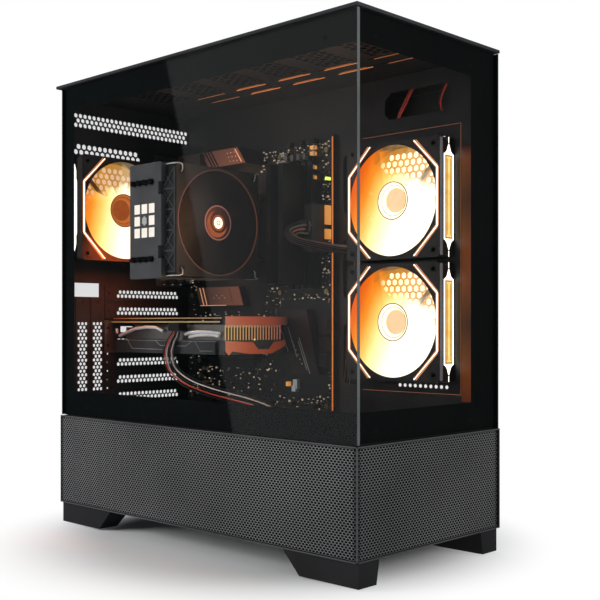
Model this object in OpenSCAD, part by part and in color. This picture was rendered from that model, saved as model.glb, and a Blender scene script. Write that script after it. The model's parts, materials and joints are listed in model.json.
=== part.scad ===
// Desktop computer tower: a glass-fronted case and everything inside it.
// Lengths are millimetres.  The front faces -Y, the left glass faces -X and +Z is up.
// Inside the modules, places are given as [u, v, z]: u runs right from the left glass,
// v runs back from the front glass and z runs up from the surface the feet stand on.

/* [Case] */
// Width from the left glass to the right side of the chassis
case_w = 215; // [205:1:270]
// Depth of the glass and of the mesh band below it
case_d = 445; // [430:1:560]
// Height of the whole tower
case_h = 500; // [490:1:640]
// Height of the feet
foot_h = 24; // [16:1:40]
// Length of a foot along the case, at its top
foot_l = 92; // [60:1:110]
// Width of a foot
foot_w = 28; // [20:1:40]
// Height of the mesh band above the feet
mesh_h = 99; // [96:1:140]
// How far the mesh band and the right panel stand out from the glass
proud = 1.5; // [1.5:0.1:4]
// How far the top cover reaches past the glass at the back
lip_d = 9; // [7:1:20]
// Thickness of the top cover
cover_t = 3; // [2.5:0.1:5]
// Thickness of the glass
glass_t = 4; // [3:0.5:6]
// Thickness of the sheet steel
sheet_t = 1; // [0.6:0.1:1.5]
// Gap between a removable panel and the chassis
gap = 0.5; // [0.3:0.1:0.5]
// Space behind the board tray for cables
cable_space = 29; // [20:1:45]
// Diameter of the studs that hold the glass
stud_d = 5; // [4:0.5:7]

/* [Fans] */
// Width and height of a case fan
fan_size = 120; // [100:1:120]
// Thickness of a case fan
fan_t = 25; // [22:0.5:28]
// Distance between the screws of a case fan
fan_screw_pitch = 105; // [88:0.5:105]
// Diameter of the air opening in a case fan
fan_bore = 113; // [94:0.5:113]
// Clearance between the blade tips and the air opening
tip_gap = 1.5; // [1:0.1:3]
// Number of blades
fan_blades = 9; // [5:1:11]
// Diameter of a fan shaft
shaft_d = 4; // [3:0.5:6]
// Radial running clearance of a fan shaft
shaft_gap = 0.05; // [0.02:0.01:0.1]
// Height of the lowest side fan above the shroud
side_fan_rise = 43; // [30:1:60]
// Distance from the front glass to the side fans
side_fan_v = 31; // [20:1:40]
// Gap between the two side fans
side_fan_gap = 4; // [1:1:20]

/* [Boards] */
// Height of the main board
board_h = 305; // [300:1:305]
// Width of the main board
board_w = 244; // [240:1:244]
// Thickness of the circuit boards
board_t = 1.6; // [1.2:0.1:2.4]
// Height of the standoffs behind the main board
standoff_h = 6.5; // [5:0.5:9]
// Distance between the expansion slots
slot_pitch = 20.32; // [20.32:0.01:20.32]
// Number of memory sockets
memory_count = 4; // [2:2:4]
// Length of the graphics card
gpu_l = 199; // [180:1:225]

/* [Cooler] */
// Width and height of the cooler fins
fin_size = 120; // [100:1:124]
// Depth of the cooler fins along the air stream
fin_d = 46; // [44:1:60]
// Distance between two cooler fins
fin_pitch = 3; // [2.5:0.1:5]
// Diameter of the heat pipes
pipe_d = 6; // [5:0.5:8]
// Number of heat pipes
pipe_count = 4; // [2:1:4]

/* [Power supply] */
// Width of the power supply
psu_w = 150; // [120:1:150]
// Height of the power supply
psu_h = 86; // [80:1:86]
// Depth of the power supply
psu_d = 150; // [140:1:170]

/* [Hidden] */
$fn = 48;

// ---- where things stand -------------------------------------------------------------
case_v0 = -(case_d + lip_d - proud) / 2;      // Y of the front glass
z_pan = foot_h;                               // underside of the base pan
z_glass = foot_h + mesh_h;                    // lower edge of the glass
z_cover = case_h - cover_t;                   // underside of the top cover's plate
cover_rib_h = 10;                             // height of the ribs under the top cover
z_roof = z_cover - cover_rib_h - sheet_t;     // underside of the roof sheet
edge = glass_t + gap;                         // chassis edge behind the glass
flange_h = 16;                                // height of the folded edges
rear_inset = 4;                               // rear panel in from the end of the glass
v_back = case_d - rear_inset;                 // outer face of the rear panel
v_rear = v_back - sheet_t;                    // inner face of the rear panel
u_side = case_w + proud - sheet_t;            // inner face of the right panel
u_tray = case_w - cable_space - sheet_t;      // component side of the board tray
z_floor = z_pan + sheet_t;                    // top of the base pan
z_shroud = z_glass + 2;                       // underside of the shroud's top plate
z_deck = z_shroud + sheet_t;                  // top of the shroud

// Main board: its face towards the glass, and its four edges
board_u1 = u_tray - standoff_h;
board_u0 = board_u1 - board_t;
board_v1 = v_rear - 8;
board_v0 = board_v1 - board_w;
board_z1 = z_roof - 51;
board_z0 = board_z1 - board_h;
board_hole_d = 4;
board_holes = [for (v = [10, 165, 237], z = [16, 172, 298]) [board_v1 - v, board_z1 - z]];
cpu_v = board_v1 - 107;
cpu_z = board_z1 - 97;

// Expansion slots, counted from the top
slot_count = 7;
slot_z1 = board_z1 - 172;
slot_u0 = 66;
slot_u1 = board_u0 - 5;
slot_h = 15;
function slot_z(k) = slot_z1 - (k - 1) * slot_pitch;
card_slot = 3;
card_z = slot_z(card_slot) + 7;
spare_slots = [for (k = [1:slot_count]) if (k != card_slot && k != card_slot + 1) k];
upright_u = [24, 45];
upright_z = [slot_z(7) + 5, slot_z(2) + 5];

// Fans
rotor_d = fan_bore - 2 * tip_gap;
hub_d = 42;
stator_t = 4;
bar_l = 100;
bar_w = 9;
inlay_t = 0.8;
side_fan_u = u_tray - fan_t;
side_fan_z = [for (k = [0, 1]) z_deck + side_fan_rise + fan_size / 2 + k * (fan_size + side_fan_gap)];
side_fan_mid = side_fan_v + fan_size / 2;
rear_fan_u = edge + 2.5 + fan_size / 2;
rear_fan_z = board_z1 - 75;
rear_fan_v = v_rear - fan_t;

// Cooler on the processor
socket_h = 8;
cooler_foot = board_u0 - socket_h;            // face of the processor's lid
cooler_base_t = 13;
pipe_u = cooler_foot - 7;
pipe_bend = 14;
pipe_span = fin_size * 0.69;
pipe_v = [for (k = [0:pipe_count - 1]) cpu_v + (k - (pipe_count - 1) / 2) * 10];
fin_t = 0.6;
fin_u1 = board_u0 - 39;
fin_reach = 105;                              // length of the fin stack
fin_u0 = fin_u1 - fin_reach;
fin_v0 = cpu_v - fin_d / 2;
fin_z0 = cpu_z - fin_size / 2;
cap_t = 7;
cap_u = fin_u0 - cap_t - 2;
cooler_fan_v = fin_v0 - fan_t;
cooler_fan_u = fin_u0 + fan_size / 2 - 2;

// Memory sockets and their latches
memory_pitch = 9.35;
memory_l = 133.4;
memory_z0 = cpu_z - memory_l / 2 - 1;
memory_socket_h = 8;
memory_v = [for (k = [0:memory_count - 1]) board_v0 + 26.5 + k * memory_pitch];
latch_pin_d = 1.5;
latch_gap = 0.05;

// Graphics card; its bracket is as thick as the covers of the unused slots
cover_plate_t = 0.9;
card_v1 = v_rear - cover_plate_t;
card_v0 = card_v1 - gpu_l;
card_u0 = board_u0 - 114;
gpu_fan_d = 84;
gpu_fan_v = [card_v0 + 52, card_v0 + 146];
gpu_fan_u = card_u0 + 46;
gpu_fin_z0 = card_z - 20;
gpu_fin_z1 = card_z - 3;
gpu_shroud_z0 = card_z - 35;

// Power supply and drives
psu_u0 = edge + 15;
psu_v0 = v_rear - psu_d;
psu_rib = 2;
psu_z0 = z_floor + psu_rib;
psu_fan_d = 112;
psu_wall = 1;
cage_u0 = edge + 16;
cage_v0 = 62;
drive_w = 101.6;
drive_l = 147;
cage_w = drive_w + 2 * sheet_t + 1;

// Ports and buttons in the top
io_u = u_tray + sheet_t + 3;
io_w = 22;
io_v0 = 24;
io_l = 122;
io_h = 24;
power_d = 12;
reset_d = 6;
button_gap = 0.1;
button_travel = 1.5;
jack_d = 3.5;
power_v = io_v0 + 14;
reset_v = io_v0 + 30;
usb_v = [io_v0 + 46, io_v0 + 68];
usb_c_v = io_v0 + 86;
jack_v = [io_v0 + 99, io_v0 + 111];

// Loose leads inside the case: each route is a short list of hand-chosen points
main_cable_d = 13;
main_plug_u = board_u0 - 27;
main_plug_v = board_v0 + 10;
main_plug_z = cpu_z - 6;
main_route = [
    [main_plug_u, main_plug_v, main_plug_z], [main_plug_u - 14, main_plug_v + 1, main_plug_z - 1],
    [130, 206, 326], [129, 198, 317], [141, 184, 312], [161, 169, 308], [185, 161, 306],
    [200, 167, 296], [201, 176, 260], [201, 180, 200], [201, 186, 140], [201, 200, 92],
    [195, 222, 74], [178, 240, 70], [158, 252, 68], [140, 262, 66], [128, 276, 65], [126, 293, 65]
];
gpu_cable_d = 9;
gpu_route = [
    [61, 314, 219.4], [60, 315, 214], [57, 317, 207], [55, 319, 194], [56, 313, 177], [59, 291, 164],
    [64, 262, 156], [70, 238, 151], [82, 216, 145], [97, 200, 136], [104, 194, 122],
    [103, 202, 106], [98, 222, 90], [91, 250, 79], [87, 275, 72], [86, 293, 70]
];

// ---- helpers ------------------------------------------------------------------------
module in_case() translate([-case_w / 2, case_v0, 0]) children();
module block(lo, hi) translate(lo) cube(hi - lo);
module area(lo, hi) translate(lo) square(hi - lo);
module soft_area(lo, hi, r) {
    area([lo[0] + r, lo[1]], [hi[0] - r, hi[1]]);
    area([lo[0], lo[1] + r], [hi[0], hi[1] - r]);
    for (x = [lo[0] + r, hi[0] - r], y = [lo[1] + r, hi[1] - r]) translate([x, y]) circle(r);
}
module dot(x, y, d) translate([x, y]) circle(d = d);
// A 2D shape drawn as [v, z] and raised along u, as [u, z] along v, or as [u, v] along z
module on_u(u, t) translate([u, 0, 0]) rotate([90, 0, 90]) linear_extrude(t) children();
module on_v(v, t) translate([0, v + t, 0]) rotate([90, 0, 0]) linear_extrude(t) children();
module on_z(z, t) translate([0, 0, z]) linear_extrude(t) children();
module rod_u(d, u0, u1, v, z) translate([u0, v, z]) rotate([0, 90, 0]) cylinder(d = d, h = u1 - u0);
module rod_v(d, v0, v1, u, z) translate([u, v1, z]) rotate([90, 0, 0]) cylinder(d = d, h = v1 - v0);
module rod_z(d, z0, z1, u, v) translate([u, v, z0]) cylinder(d = d, h = z1 - z0);
// A fan's own frame has its face at z = 0; these stand it along u, v or up
module along_u(u, v, z) translate([u, v, z]) rotate([90, 0, 90]) children();
module along_v(u, v, z) translate([u, v, z]) rotate([-90, 0, 0]) children();

module hex_rows(lo, columns, rows, pitch, d) {
    for (r = [0:rows - 1], c = [0:columns - 1 - r % 2])
        translate([lo[0] + (c + (r % 2) / 2) * pitch, lo[1] + r * pitch * sin(60)])
            rotate(30) circle(d = d, $fn = 6);
}
module hex_disc(reach, pitch, d) {
    n = floor(reach / 2 / pitch) + 1;
    for (r = [-n:n], c = [-n:n]) {
        x = (c + abs(r % 2) / 2) * pitch;
        y = r * pitch * sin(60);
        if (norm([x, y]) < (reach - d) / 2) translate([x, y]) rotate(30) circle(d = d, $fn = 6);
    }
}
module corner_dots(pitch, d) for (x = [-1, 1], y = [-1, 1]) dot(x * pitch / 2, y * pitch / 2, d);

function unit(a) = a / norm(a);
function spline(p, i, t) =
    let (n = len(p) - 1, a = p[max(i - 1, 0)], b = p[i], c = p[i + 1], d = p[min(i + 2, n)])
    0.5 * (2 * b + (c - a) * t + (2 * a - 5 * b + 4 * c - d) * t * t
        + (3 * b - a - 3 * c + d) * t * t * t);
function smooth(p, steps) =
    [for (i = [0:len(p) - 2], k = [0:steps - 1]) spline(p, i, k / steps), p[len(p) - 1]];
function headings(p) =
    [for (i = [0:len(p) - 1]) unit(p[min(i + 1, len(p) - 1)] - p[max(i - 1, 0)])];
function square_to(n, t) = unit(n - (n * t) * t);
function sides(t, start) =
    [for (i = 0, n = square_to(start, t[0]); i < len(t); i = i + 1,
        n = i < len(t) ? square_to(n, t[i]) : n) n];
module lead(route, d, start, faces = 8, steps = 2) {
    p = smooth(route, steps);
    t = headings(p);
    n = sides(t, start);
    rings = [for (i = [0:len(p) - 1], k = [0:faces - 1])
        p[i] + d / 2 * (cos(360 * k / faces) * n[i] + sin(360 * k / faces) * cross(t[i], n[i]))];
    last = (len(p) - 1) * faces;
    polyhedron(rings, concat(
        [[for (k = [0:faces - 1]) k]],
        [for (i = [0:len(p) - 2], k = [0:faces - 1])
            [i * faces + k, (i + 1) * faces + k, (i + 1) * faces + (k + 1) % faces,
             i * faces + (k + 1) % faces]],
        [[for (k = [faces - 1:-1:0]) last + k]]
    ), convexity = 8);
}

// ---- chassis ------------------------------------------------------------------------
module base_pan() color("#2a2b2d") in_case() {
    on_z(z_pan, sheet_t) difference() {
        area([edge, edge], [case_w, v_back]);
        hex_rows([psu_u0 + 22, psu_v0 + 20], 11, 11, 11, 9.5);
    }
    for (u = [edge, case_w - sheet_t])
        block([u, edge, z_floor], [u + sheet_t, v_rear, z_floor + flange_h]);
    // Ribs under the power supply
    for (v = [psu_v0 + 4, v_rear - 12])
        block([psu_u0 + 6, v, z_floor], [psu_u0 + psu_w - 6, v + 8, z_floor + psu_rib]);
    // Rails that the filter slides in, underneath
    for (side = [0, 1]) {
        u = bottom_filter_u[side] + (side == 0 ? -2.3 : 0.3);
        lip = side == 0 ? 0 : -3;
        block([u, bottom_filter_v[0], z_pan - filter_rail_h - 1.6], [u + 2, v_rear - 4, z_pan]);
        block([u + lip, bottom_filter_v[0], z_pan - filter_rail_h - 1.6],
              [u + lip + 5, v_rear - 4, z_pan - filter_rail_h - 0.4]);
    }
}

module foot(front) {
    v0 = front ? 0 : case_d;
    way = front ? 1 : -1;
    slant = 22;
    taper = 4;
    pad_seat = 1.5;
    intersection() {
        on_u(0, foot_w) polygon([
            [v0, pad_seat], [v0 + way * (foot_l - slant), pad_seat], [v0 + way * foot_l, z_pan],
            [v0, z_pan]
        ]);
        on_v(min(v0, v0 + way * foot_l), foot_l)
            polygon([[0, pad_seat], [foot_w - taper, pad_seat], [foot_w, z_pan], [0, z_pan]]);
    }
}
foot_inset = 2;
module feet() color("#3a3b3d") in_case() for (front = [true, false]) {
    translate([foot_inset, 0, 0]) foot(front);
    translate([case_w - foot_inset, 0, 0]) mirror([1, 0, 0]) foot(front);
}

module foot_pads() color("#151515") in_case() {
    pad_l = 52;
    pad_w = 14;
    for (u = [foot_inset + 5, case_w - foot_inset - 5 - pad_w], v = [6, case_d - 6 - pad_l])
        on_z(0, 1.5) soft_area([u, v], [u + pad_w, v + pad_l], 3);
}

module rear_openings() {
    // Strip of small holes under the roof, and a shorter one over the rear fan
    hex_rows([16, board_z1 + 22], 27, 3, 6.3, 5.4);
    hex_rows([16, board_z1 - 9], 13, 2, 7.4, 6.4);
    translate([rear_fan_u, rear_fan_z]) hex_disc(fan_bore - 2, 8, 7);
    translate([rear_fan_u, rear_fan_z]) corner_dots(fan_screw_pitch, 4.4);
    soft_area([rear_fan_u + 61, board_z1 - 21], [rear_fan_u + 64.6, board_z1 - 8], 1.5);
    // Connector opening of the main board
    area([board_u0 - 43, board_z1 - 160], [board_u0 + 1.5, board_z1 - 1]);
    // Expansion slots, lying and standing
    for (k = [1:slot_count])
        area([slot_u0, slot_z(k) - slot_h / 2], [slot_u1, slot_z(k) + slot_h / 2]);
    for (u = upright_u) area([u - slot_h / 2, upright_z[0]], [u + slot_h / 2, upright_z[1]]);
    area([14, upright_z[1] + 11], [48, upright_z[1] + 27]);
    for (k = [5, 6]) {
        area([58, slot_z(k) - 7], [60, slot_z(k) + 7]);
        area([60, slot_z(k) + 5.4], [63.5, slot_z(k) + 7]);
        area([60, slot_z(k) - 7], [63.5, slot_z(k) - 5.4]);
    }
    for (k = [4.5:1:6.5]) dot(60, slot_z(k), 2.4);
    // Power supply
    soft_area([psu_u0 + 7, psu_z0 + 7], [psu_u0 + psu_w - 7, psu_z0 + psu_h - 7], 4);
    for (p = psu_screws()) dot(psu_u0 + p[0], psu_z0 + p[1], 4);
    for (z = thumb_z()) dot(thumb_u(), z, 4.4);
}
function psu_screws() = [[3, 3], [3, psu_h - 3], [psu_w - 3, 16], [psu_w - 3, psu_h - 16]];
function thumb_u() = case_w - 8;
function thumb_z() = [z_pan + 40, z_roof - 40];
module rear_panel() color("#242527") in_case() {
    on_v(v_rear, sheet_t) difference() {
        area([edge, z_floor], [case_w, z_roof]);
        rear_openings();
    }
    // Folded edge beside the left glass
    for (span = [[z_deck + flange_h + 1, slot_z(1) + 44], [rear_fan_z + fan_size / 2 + 2, z_roof - flange_h - 1]])
        block([edge, v_rear - 8, span[0]], [edge + sheet_t, v_rear, span[1]]);
}

// Grommet openings beside the board, and the round ends of each
tray_slot_v = [board_v0 - 34, board_v0 - 9];
tray_slots = [for (k = [0:2]) board_z0 + 32 + k * 92];
module board_tray() color("#2b2c2f") in_case() on_u(u_tray, sheet_t) difference() {
    area([edge + 3, z_floor], [v_rear, z_roof]);
    for (z = side_fan_z) translate([side_fan_mid, z]) {
        hex_disc(fan_bore, 8, 7);
        corner_dots(fan_screw_pitch, 4.4);
    }
    for (z = tray_slots) soft_area([tray_slot_v[0], z], [tray_slot_v[1], z + 66], 8);
    // Large opening near the roof, with cut corners
    polygon([
        [42, z_roof - 44], [36, z_roof - 36], [36, z_roof - 22], [42, z_roof - 16],
        [112, z_roof - 16], [120, z_roof - 24], [120, z_roof - 38], [114, z_roof - 44]
    ]);
    // Window behind the processor, and the way through under the shroud
    soft_area([cpu_v - 60, cpu_z - 55], [cpu_v + 60, cpu_z + 60], 8);
    soft_area([psu_v0 - 84, z_floor + 18], [psu_v0 - 6, z_floor + 80], 8);
    for (p = board_holes) dot(p[0], p[1], 3);
}

roof_rows = [30, 112.5, 135];
module roof_panel() color("#242527") in_case() {
    on_z(z_roof, sheet_t) difference() {
        area([edge, edge], [case_w, v_back]);
        for (u = roof_rows, v = [26:66:case_d - 90]) soft_area([u - 1.8, v], [u + 1.8, v + 57], 1.7);
        for (v = [34:62:case_d - 90]) hex_rows([44, v], 7, 5, 9.4, 8);
        area([io_u - 1, io_v0 - 1], [io_u + io_w + 1, io_v0 + io_l + 1]);
    }
    difference() {
        block([edge, edge, z_roof - flange_h], [edge + sheet_t, v_rear, z_roof]);
        for (v = stud_v()) rod_u(stud_d + 1, 0, edge + 5, v, stud_z()[1]);
    }
    difference() {
        block([edge + sheet_t, edge, z_roof - flange_h], [case_w, edge + sheet_t, z_roof]);
        for (u = stud_u()) rod_v(stud_d + 1, 0, edge + 5, u, stud_z()[1]);
    }
    block([case_w - sheet_t, edge + sheet_t, z_roof - flange_h], [case_w, v_rear, z_roof]);
}

module front_frame() color("#202123") in_case() {
    column_u = u_tray + sheet_t;
    top = z_roof - flange_h;
    on_v(edge, sheet_t) difference() {
        union() {
            area([edge + sheet_t, z_floor], [case_w - sheet_t, z_shroud]);
            area([column_u, z_shroud], [case_w - sheet_t, top]);
        }
        for (u = [20, 106]) hex_rows([u, z_floor + 14], 7, 8, 10.6, 9.2);
    }
    block([column_u, edge + sheet_t, z_floor], [column_u + sheet_t, edge + 18, top]);
}

module psu_shroud() color("#222325") in_case() {
    right = u_tray;
    on_z(z_shroud, sheet_t) difference() {
        area([edge, edge], [right, v_rear]);
        translate([deck_fan()[0], deck_fan()[1]]) corner_dots(fan_screw_pitch, 4.4);
        translate([deck_fan()[0], deck_fan()[1]]) hex_disc(fan_bore, 11, 9.4);
        soft_area([90, 184], [118, 204], 7);
        soft_area([130, v_rear - 62], [160, v_rear - 38], 7);
    }
    // Side wall with windows, and the folded edges that hold the glass studs
    on_u(edge, sheet_t) difference() {
        area([edge, z_floor + flange_h], [v_rear, z_shroud]);
        for (v = [30:70:case_d - 90]) soft_area([v, z_floor + 26], [v + 58, z_shroud - 10], 6);
    }
    difference() {
        block([edge, edge, z_deck], [edge + sheet_t, v_rear, z_deck + flange_h]);
        for (v = stud_v()) rod_u(stud_d + 1, 0, edge + 5, v, stud_z()[0]);
    }
    difference() {
        block([edge + sheet_t, edge, z_deck], [right, edge + sheet_t, z_deck + flange_h]);
        for (u = stud_u()) rod_v(stud_d + 1, 0, edge + 5, u, stud_z()[0]);
    }
}
function deck_fan() = [edge + 14 + fan_size / 2, 52 + fan_size / 2 - 6];

// ---- top ----------------------------------------------------------------------------
filter_t = 1.5;
filter_u = [18, u_tray - 4];
filter_v = [26, case_d - 34];
module top_cover() color("#1b1c1e") in_case() {
    rib_u = edge + 3;
    difference() {
        on_z(z_cover, cover_t) difference() {
            area([-proud, -proud], [case_w + proud, case_d + lip_d]);
            area([io_u - 0.3, io_v0 - 0.3], [io_u + io_w + 0.3, io_v0 + io_l + 0.3]);
            for (v = [42:70:case_d - 100]) hex_rows([32, v], 9, 4, 16, 14);
        }
        block([filter_u[0] - gap, filter_v[0] - gap, case_h - filter_t],
              [filter_u[1] + gap, filter_v[1] + gap, case_h + 1]);
    }
    // Ribs that stand on the roof
    far_u = case_w - sheet_t - 2.4;
    for (u = [rib_u, far_u]) block([u, rib_u, z_cover - cover_rib_h], [u + 2, v_back - 4, z_cover]);
    for (v = [rib_u, v_back - 6])
        block([rib_u + 2, v, z_cover - cover_rib_h], [far_u, v + 2, z_cover]);
}
module top_filter() color("#303133") in_case() {
    rim = 5;
    on_z(case_h - filter_t, filter_t) difference() {
        soft_area([filter_u[0], filter_v[0]], [filter_u[1], filter_v[1]], 3);
        for (k = [0:3]) {
            pane = (filter_v[1] - filter_v[0] - 5 * rim) / 4;
            v = filter_v[0] + rim + k * (pane + rim);
            area([filter_u[0] + rim, v], [filter_u[1] - rim, v + pane]);
        }
    }
    on_z(case_h - filter_t, 0.3)
        area([filter_u[0] + rim, filter_v[0] + rim], [filter_u[1] - rim, filter_v[1] - rim]);
}

filter_rail_h = 4;
filter_frame_t = 3;
bottom_filter_u = [foot_inset + foot_w + 4, psu_u0 + psu_w - 8];
bottom_filter_v = [psu_v0 + 4, case_d - 2];
module bottom_filter() color("#1d1e20") in_case() {
    z = z_pan - filter_rail_h;
    lo = [bottom_filter_u[0], bottom_filter_v[0]];
    hi = [bottom_filter_u[1], bottom_filter_v[1]];
    rim = 6;
    pane = [(hi[0] - lo[0] - 3 * rim) / 2, (hi[1] - lo[1] - 4 * rim) / 3];
    on_z(z, filter_frame_t) difference() {
        area(lo, hi);
        for (k = [0:2], side = [0, 1]) {
            corner = lo + [rim + side * (pane[0] + rim), rim + k * (pane[1] + rim)];
            area(corner, corner + pane);
        }
    }
    on_z(z + 1, 0.3) area(lo + [rim, rim], hi - [rim, rim]);
    block([lo[0] + 45, hi[1] - rim, z - 5], [hi[0] - 45, hi[1], z]);
}

module io_panel() color("#1a1b1d") in_case() {
    mid = io_u + io_w / 2;
    difference() {
        block([io_u, io_v0, case_h - io_h], [io_u + io_w, io_v0 + io_l, case_h]);
        rod_z(power_d + 2 * button_gap, case_h - 12, case_h + 1, mid, power_v);
        rod_z(reset_d + 2 * button_gap, case_h - 12, case_h + 1, mid, reset_v);
        for (v = usb_v) block([mid - 4, v - 8, case_h - 18], [mid + 4, v + 8, case_h + 1]);
        block([mid - 2.5, usb_c_v - 5.5, case_h - 14], [mid + 2.5, usb_c_v + 5.5, case_h + 1]);
        for (v = jack_v) rod_z(8, case_h - 16, case_h + 1, mid, v);
    }
}
module front_ports() color("#9a9da1") in_case() {
    mid = io_u + io_w / 2;
    wall = 0.5;
    for (v = usb_v) {
        difference() {
            block([mid - 4, v - 8, case_h - 18], [mid + 4, v + 8, case_h - 0.4]);
            block([mid - 4 + wall, v - 8 + wall, case_h - 16], [mid + 4 - wall, v + 8 - wall, case_h]);
        }
        block([mid + 0.6, v - 6, case_h - 16], [mid + 2.6, v + 6, case_h - 2]);
    }
    difference() {
        on_z(case_h - 14, 13.6) soft_area([mid - 2.5, usb_c_v - 5.5], [mid + 2.5, usb_c_v + 5.5], 2.4);
        on_z(case_h - 12, 13) soft_area([mid - 2, usb_c_v - 5], [mid + 2, usb_c_v + 5], 1.9);
    }
    block([mid - 0.35, usb_c_v - 3.4, case_h - 12], [mid + 0.35, usb_c_v + 3.4, case_h - 2]);
    for (v = jack_v) difference() {
        rod_z(8, case_h - 16, case_h - 0.2, mid, v);
        rod_z(jack_d, case_h - 15, case_h, mid, v);
    }
}
module button(d, v) {
    mid = io_u + io_w / 2;
    rod_z(d, case_h - 12 + button_travel, case_h, mid, v);
}
module power_button() color("#e8e9ea") in_case() button(power_d, power_v);
module reset_button() color("#c9cacc") in_case() button(reset_d, reset_v);

// ---- glass, mesh and right panel ----------------------------------------------------
stud_reach = 5;
function stud_v() = [40, case_d - 45];
function stud_u() = [30, u_tray - 12];
function stud_z() = [z_deck + flange_h / 2, z_roof - flange_h / 2];
module left_glass() color("#20262a", 0.5) in_case() {
    block([0, 0, z_glass + gap], [glass_t, case_d, z_cover - gap]);
    for (v = stud_v(), z = stud_z()) rod_u(stud_d, glass_t, glass_t + stud_reach, v, z);
}
module front_glass() color("#20262a", 0.5) in_case() {
    block([glass_t + gap / 2, 0, z_glass + gap], [case_w, glass_t, z_cover - gap]);
    for (u = stud_u(), z = stud_z()) rod_v(stud_d, glass_t, glass_t + stud_reach, u, z);
}
mesh_t = 1;
module left_mesh() color("#3c3d3f") in_case() {
    front = -proud + mesh_t + 0.1;
    block([-proud, front, z_pan], [-proud + mesh_t, case_d, z_glass]);
    for (z = [z_pan, z_glass - mesh_t])
        block([-proud + mesh_t, edge, z], [edge - 0.2, case_d - 3, z + mesh_t]);
}
module front_mesh() color("#3c3d3f") in_case() {
    block([-proud, -proud, z_pan], [case_w + proud, -proud + mesh_t, z_glass]);
    for (z = [z_pan, z_glass - mesh_t])
        block([edge, -proud + mesh_t, z], [case_w - 1, edge - 0.2, z + mesh_t]);
}
panel_tab = 14;
module right_panel() color("#26272a") in_case() {
    top = z_cover - gap;
    block([u_side, 0, z_pan], [u_side + sheet_t, case_d, top]);
    // Folded rear edge for the thumbscrews, and two stiffening folds
    on_v(v_back + 0.2, sheet_t) difference() {
        area([u_side - panel_tab, z_pan + 20], [u_side, z_roof - 20]);
        for (z = thumb_z()) dot(thumb_u(), z, 4.4);
    }
}
module panel_thumbscrews() color("#17181a") in_case() for (z = thumb_z()) {
    seat = v_back + 0.2 + sheet_t;
    rod_v(11, seat, seat + 6, thumb_u(), z);
    rod_v(3.5, seat - 7, seat, thumb_u(), z);
}

// ---- covers for the unused slots ----------------------------------------------------
module lying_cover(k) {
    z = slot_z(k);
    on_v(v_rear - cover_plate_t, cover_plate_t) difference() {
        union() {
            area([slot_u0 - 11, z - 9], [slot_u1 + 3, z + 9]);
            area([slot_u1 + 3, z - 5], [slot_u1 + 9, z + 5]);
        }
        hex_rows([slot_u0 + 9, z - 2.6], 17, 2, 5.6, 4.8);
        dot(slot_u0 - 6, z, 3.4);
    }
}
module standing_cover(u) {
    on_v(v_rear - cover_plate_t, cover_plate_t) difference() {
        area([u - 9, upright_z[0] - 5], [u + 9, upright_z[1] + 9]);
        hex_rows([u - 4.6, upright_z[0] + 5], 3, 19, 4.9, 4.2);
        dot(u, upright_z[1] + 5, 3.4);
    }
}
module slot_covers() color("#1f2022") in_case() {
    for (k = spare_slots) lying_cover(k);
    for (u = upright_u) standing_cover(u);
}

// ---- case fans ----------------------------------------------------------------------
// The light line on a fan's face: two brackets, each an upright and two slanted ends
light_w = 1.6;
light_cut = 29;
module light_outline() {
    half = fan_size / 2 - 2;
    difference() {
        polygon([[-half, -half + light_cut], [-half + light_cut, -half], [half - light_cut, -half],
                 [half, -half + light_cut], [half, half - light_cut], [half - light_cut, half],
                 [-half + light_cut, half], [-half, half - light_cut]]);
        inner = half - light_w;
        cut = light_cut - light_w * 0.6;
        polygon([[-inner, -inner + cut], [-inner + cut, -inner], [inner - cut, -inner],
                 [inner, -inner + cut], [inner, inner - cut], [inner - cut, inner],
                 [-inner + cut, inner], [-inner, inner - cut]]);
        area([-inner + cut, -half - 1], [inner - cut, half + 1]);
    }
}
module bar_outline() {
    tip = 8;
    step = 1.5;
    half = bar_l / 2;
    waist = half - 18;
    polygon([
        [0, -half], [bar_w / 2 - step, -half + tip], [bar_w / 2 - step, -waist],
        [bar_w / 2, -waist + 2], [bar_w / 2, waist - 2], [bar_w / 2 - step, waist],
        [bar_w / 2 - step, half - tip], [0, half], [-bar_w / 2 + step, half - tip],
        [-bar_w / 2 + step, waist], [-bar_w / 2, waist - 2], [-bar_w / 2, -waist + 2],
        [-bar_w / 2 + step, -waist], [-bar_w / 2 + step, -half + tip]
    ]);
}
module fan_inlays() {
    linear_extrude(inlay_t) light_outline();
    for (side = [0, 1]) mirror([side, 0, 0])
        translate([fan_size / 2 - inlay_t, 0, fan_t / 2 + 2])
            rotate([0, 90, 0]) linear_extrude(inlay_t) bar_outline();
}
module fan_frame(lit) {
    half = fan_size / 2;
    difference() {
        linear_extrude(fan_t) difference() {
            soft_area([-half, -half], [half, half], 5);
            circle(d = fan_bore, $fn = 96);
            corner_dots(fan_screw_pitch, 4.4);
        }
        if (lit) fan_inlays();
    }
    stator(fan_t, fan_bore);
}
module stator(depth, bore) {
    translate([0, 0, depth - stator_t]) difference() {
        union() {
            cylinder(d = hub_d - 2, h = stator_t);
            intersection() {
                for (k = [0:3]) rotate(45 + 90 * k) translate([0, -2.5, 0])
                    cube([bore / 2 + 1, 5, stator_t]);
                cylinder(d = bore + 0.2, h = stator_t, $fn = 96);
            }
        }
        translate([0, 0, -1]) cylinder(d = shaft_d + 2 * shaft_gap, h = stator_t + 2);
    }
}
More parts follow.
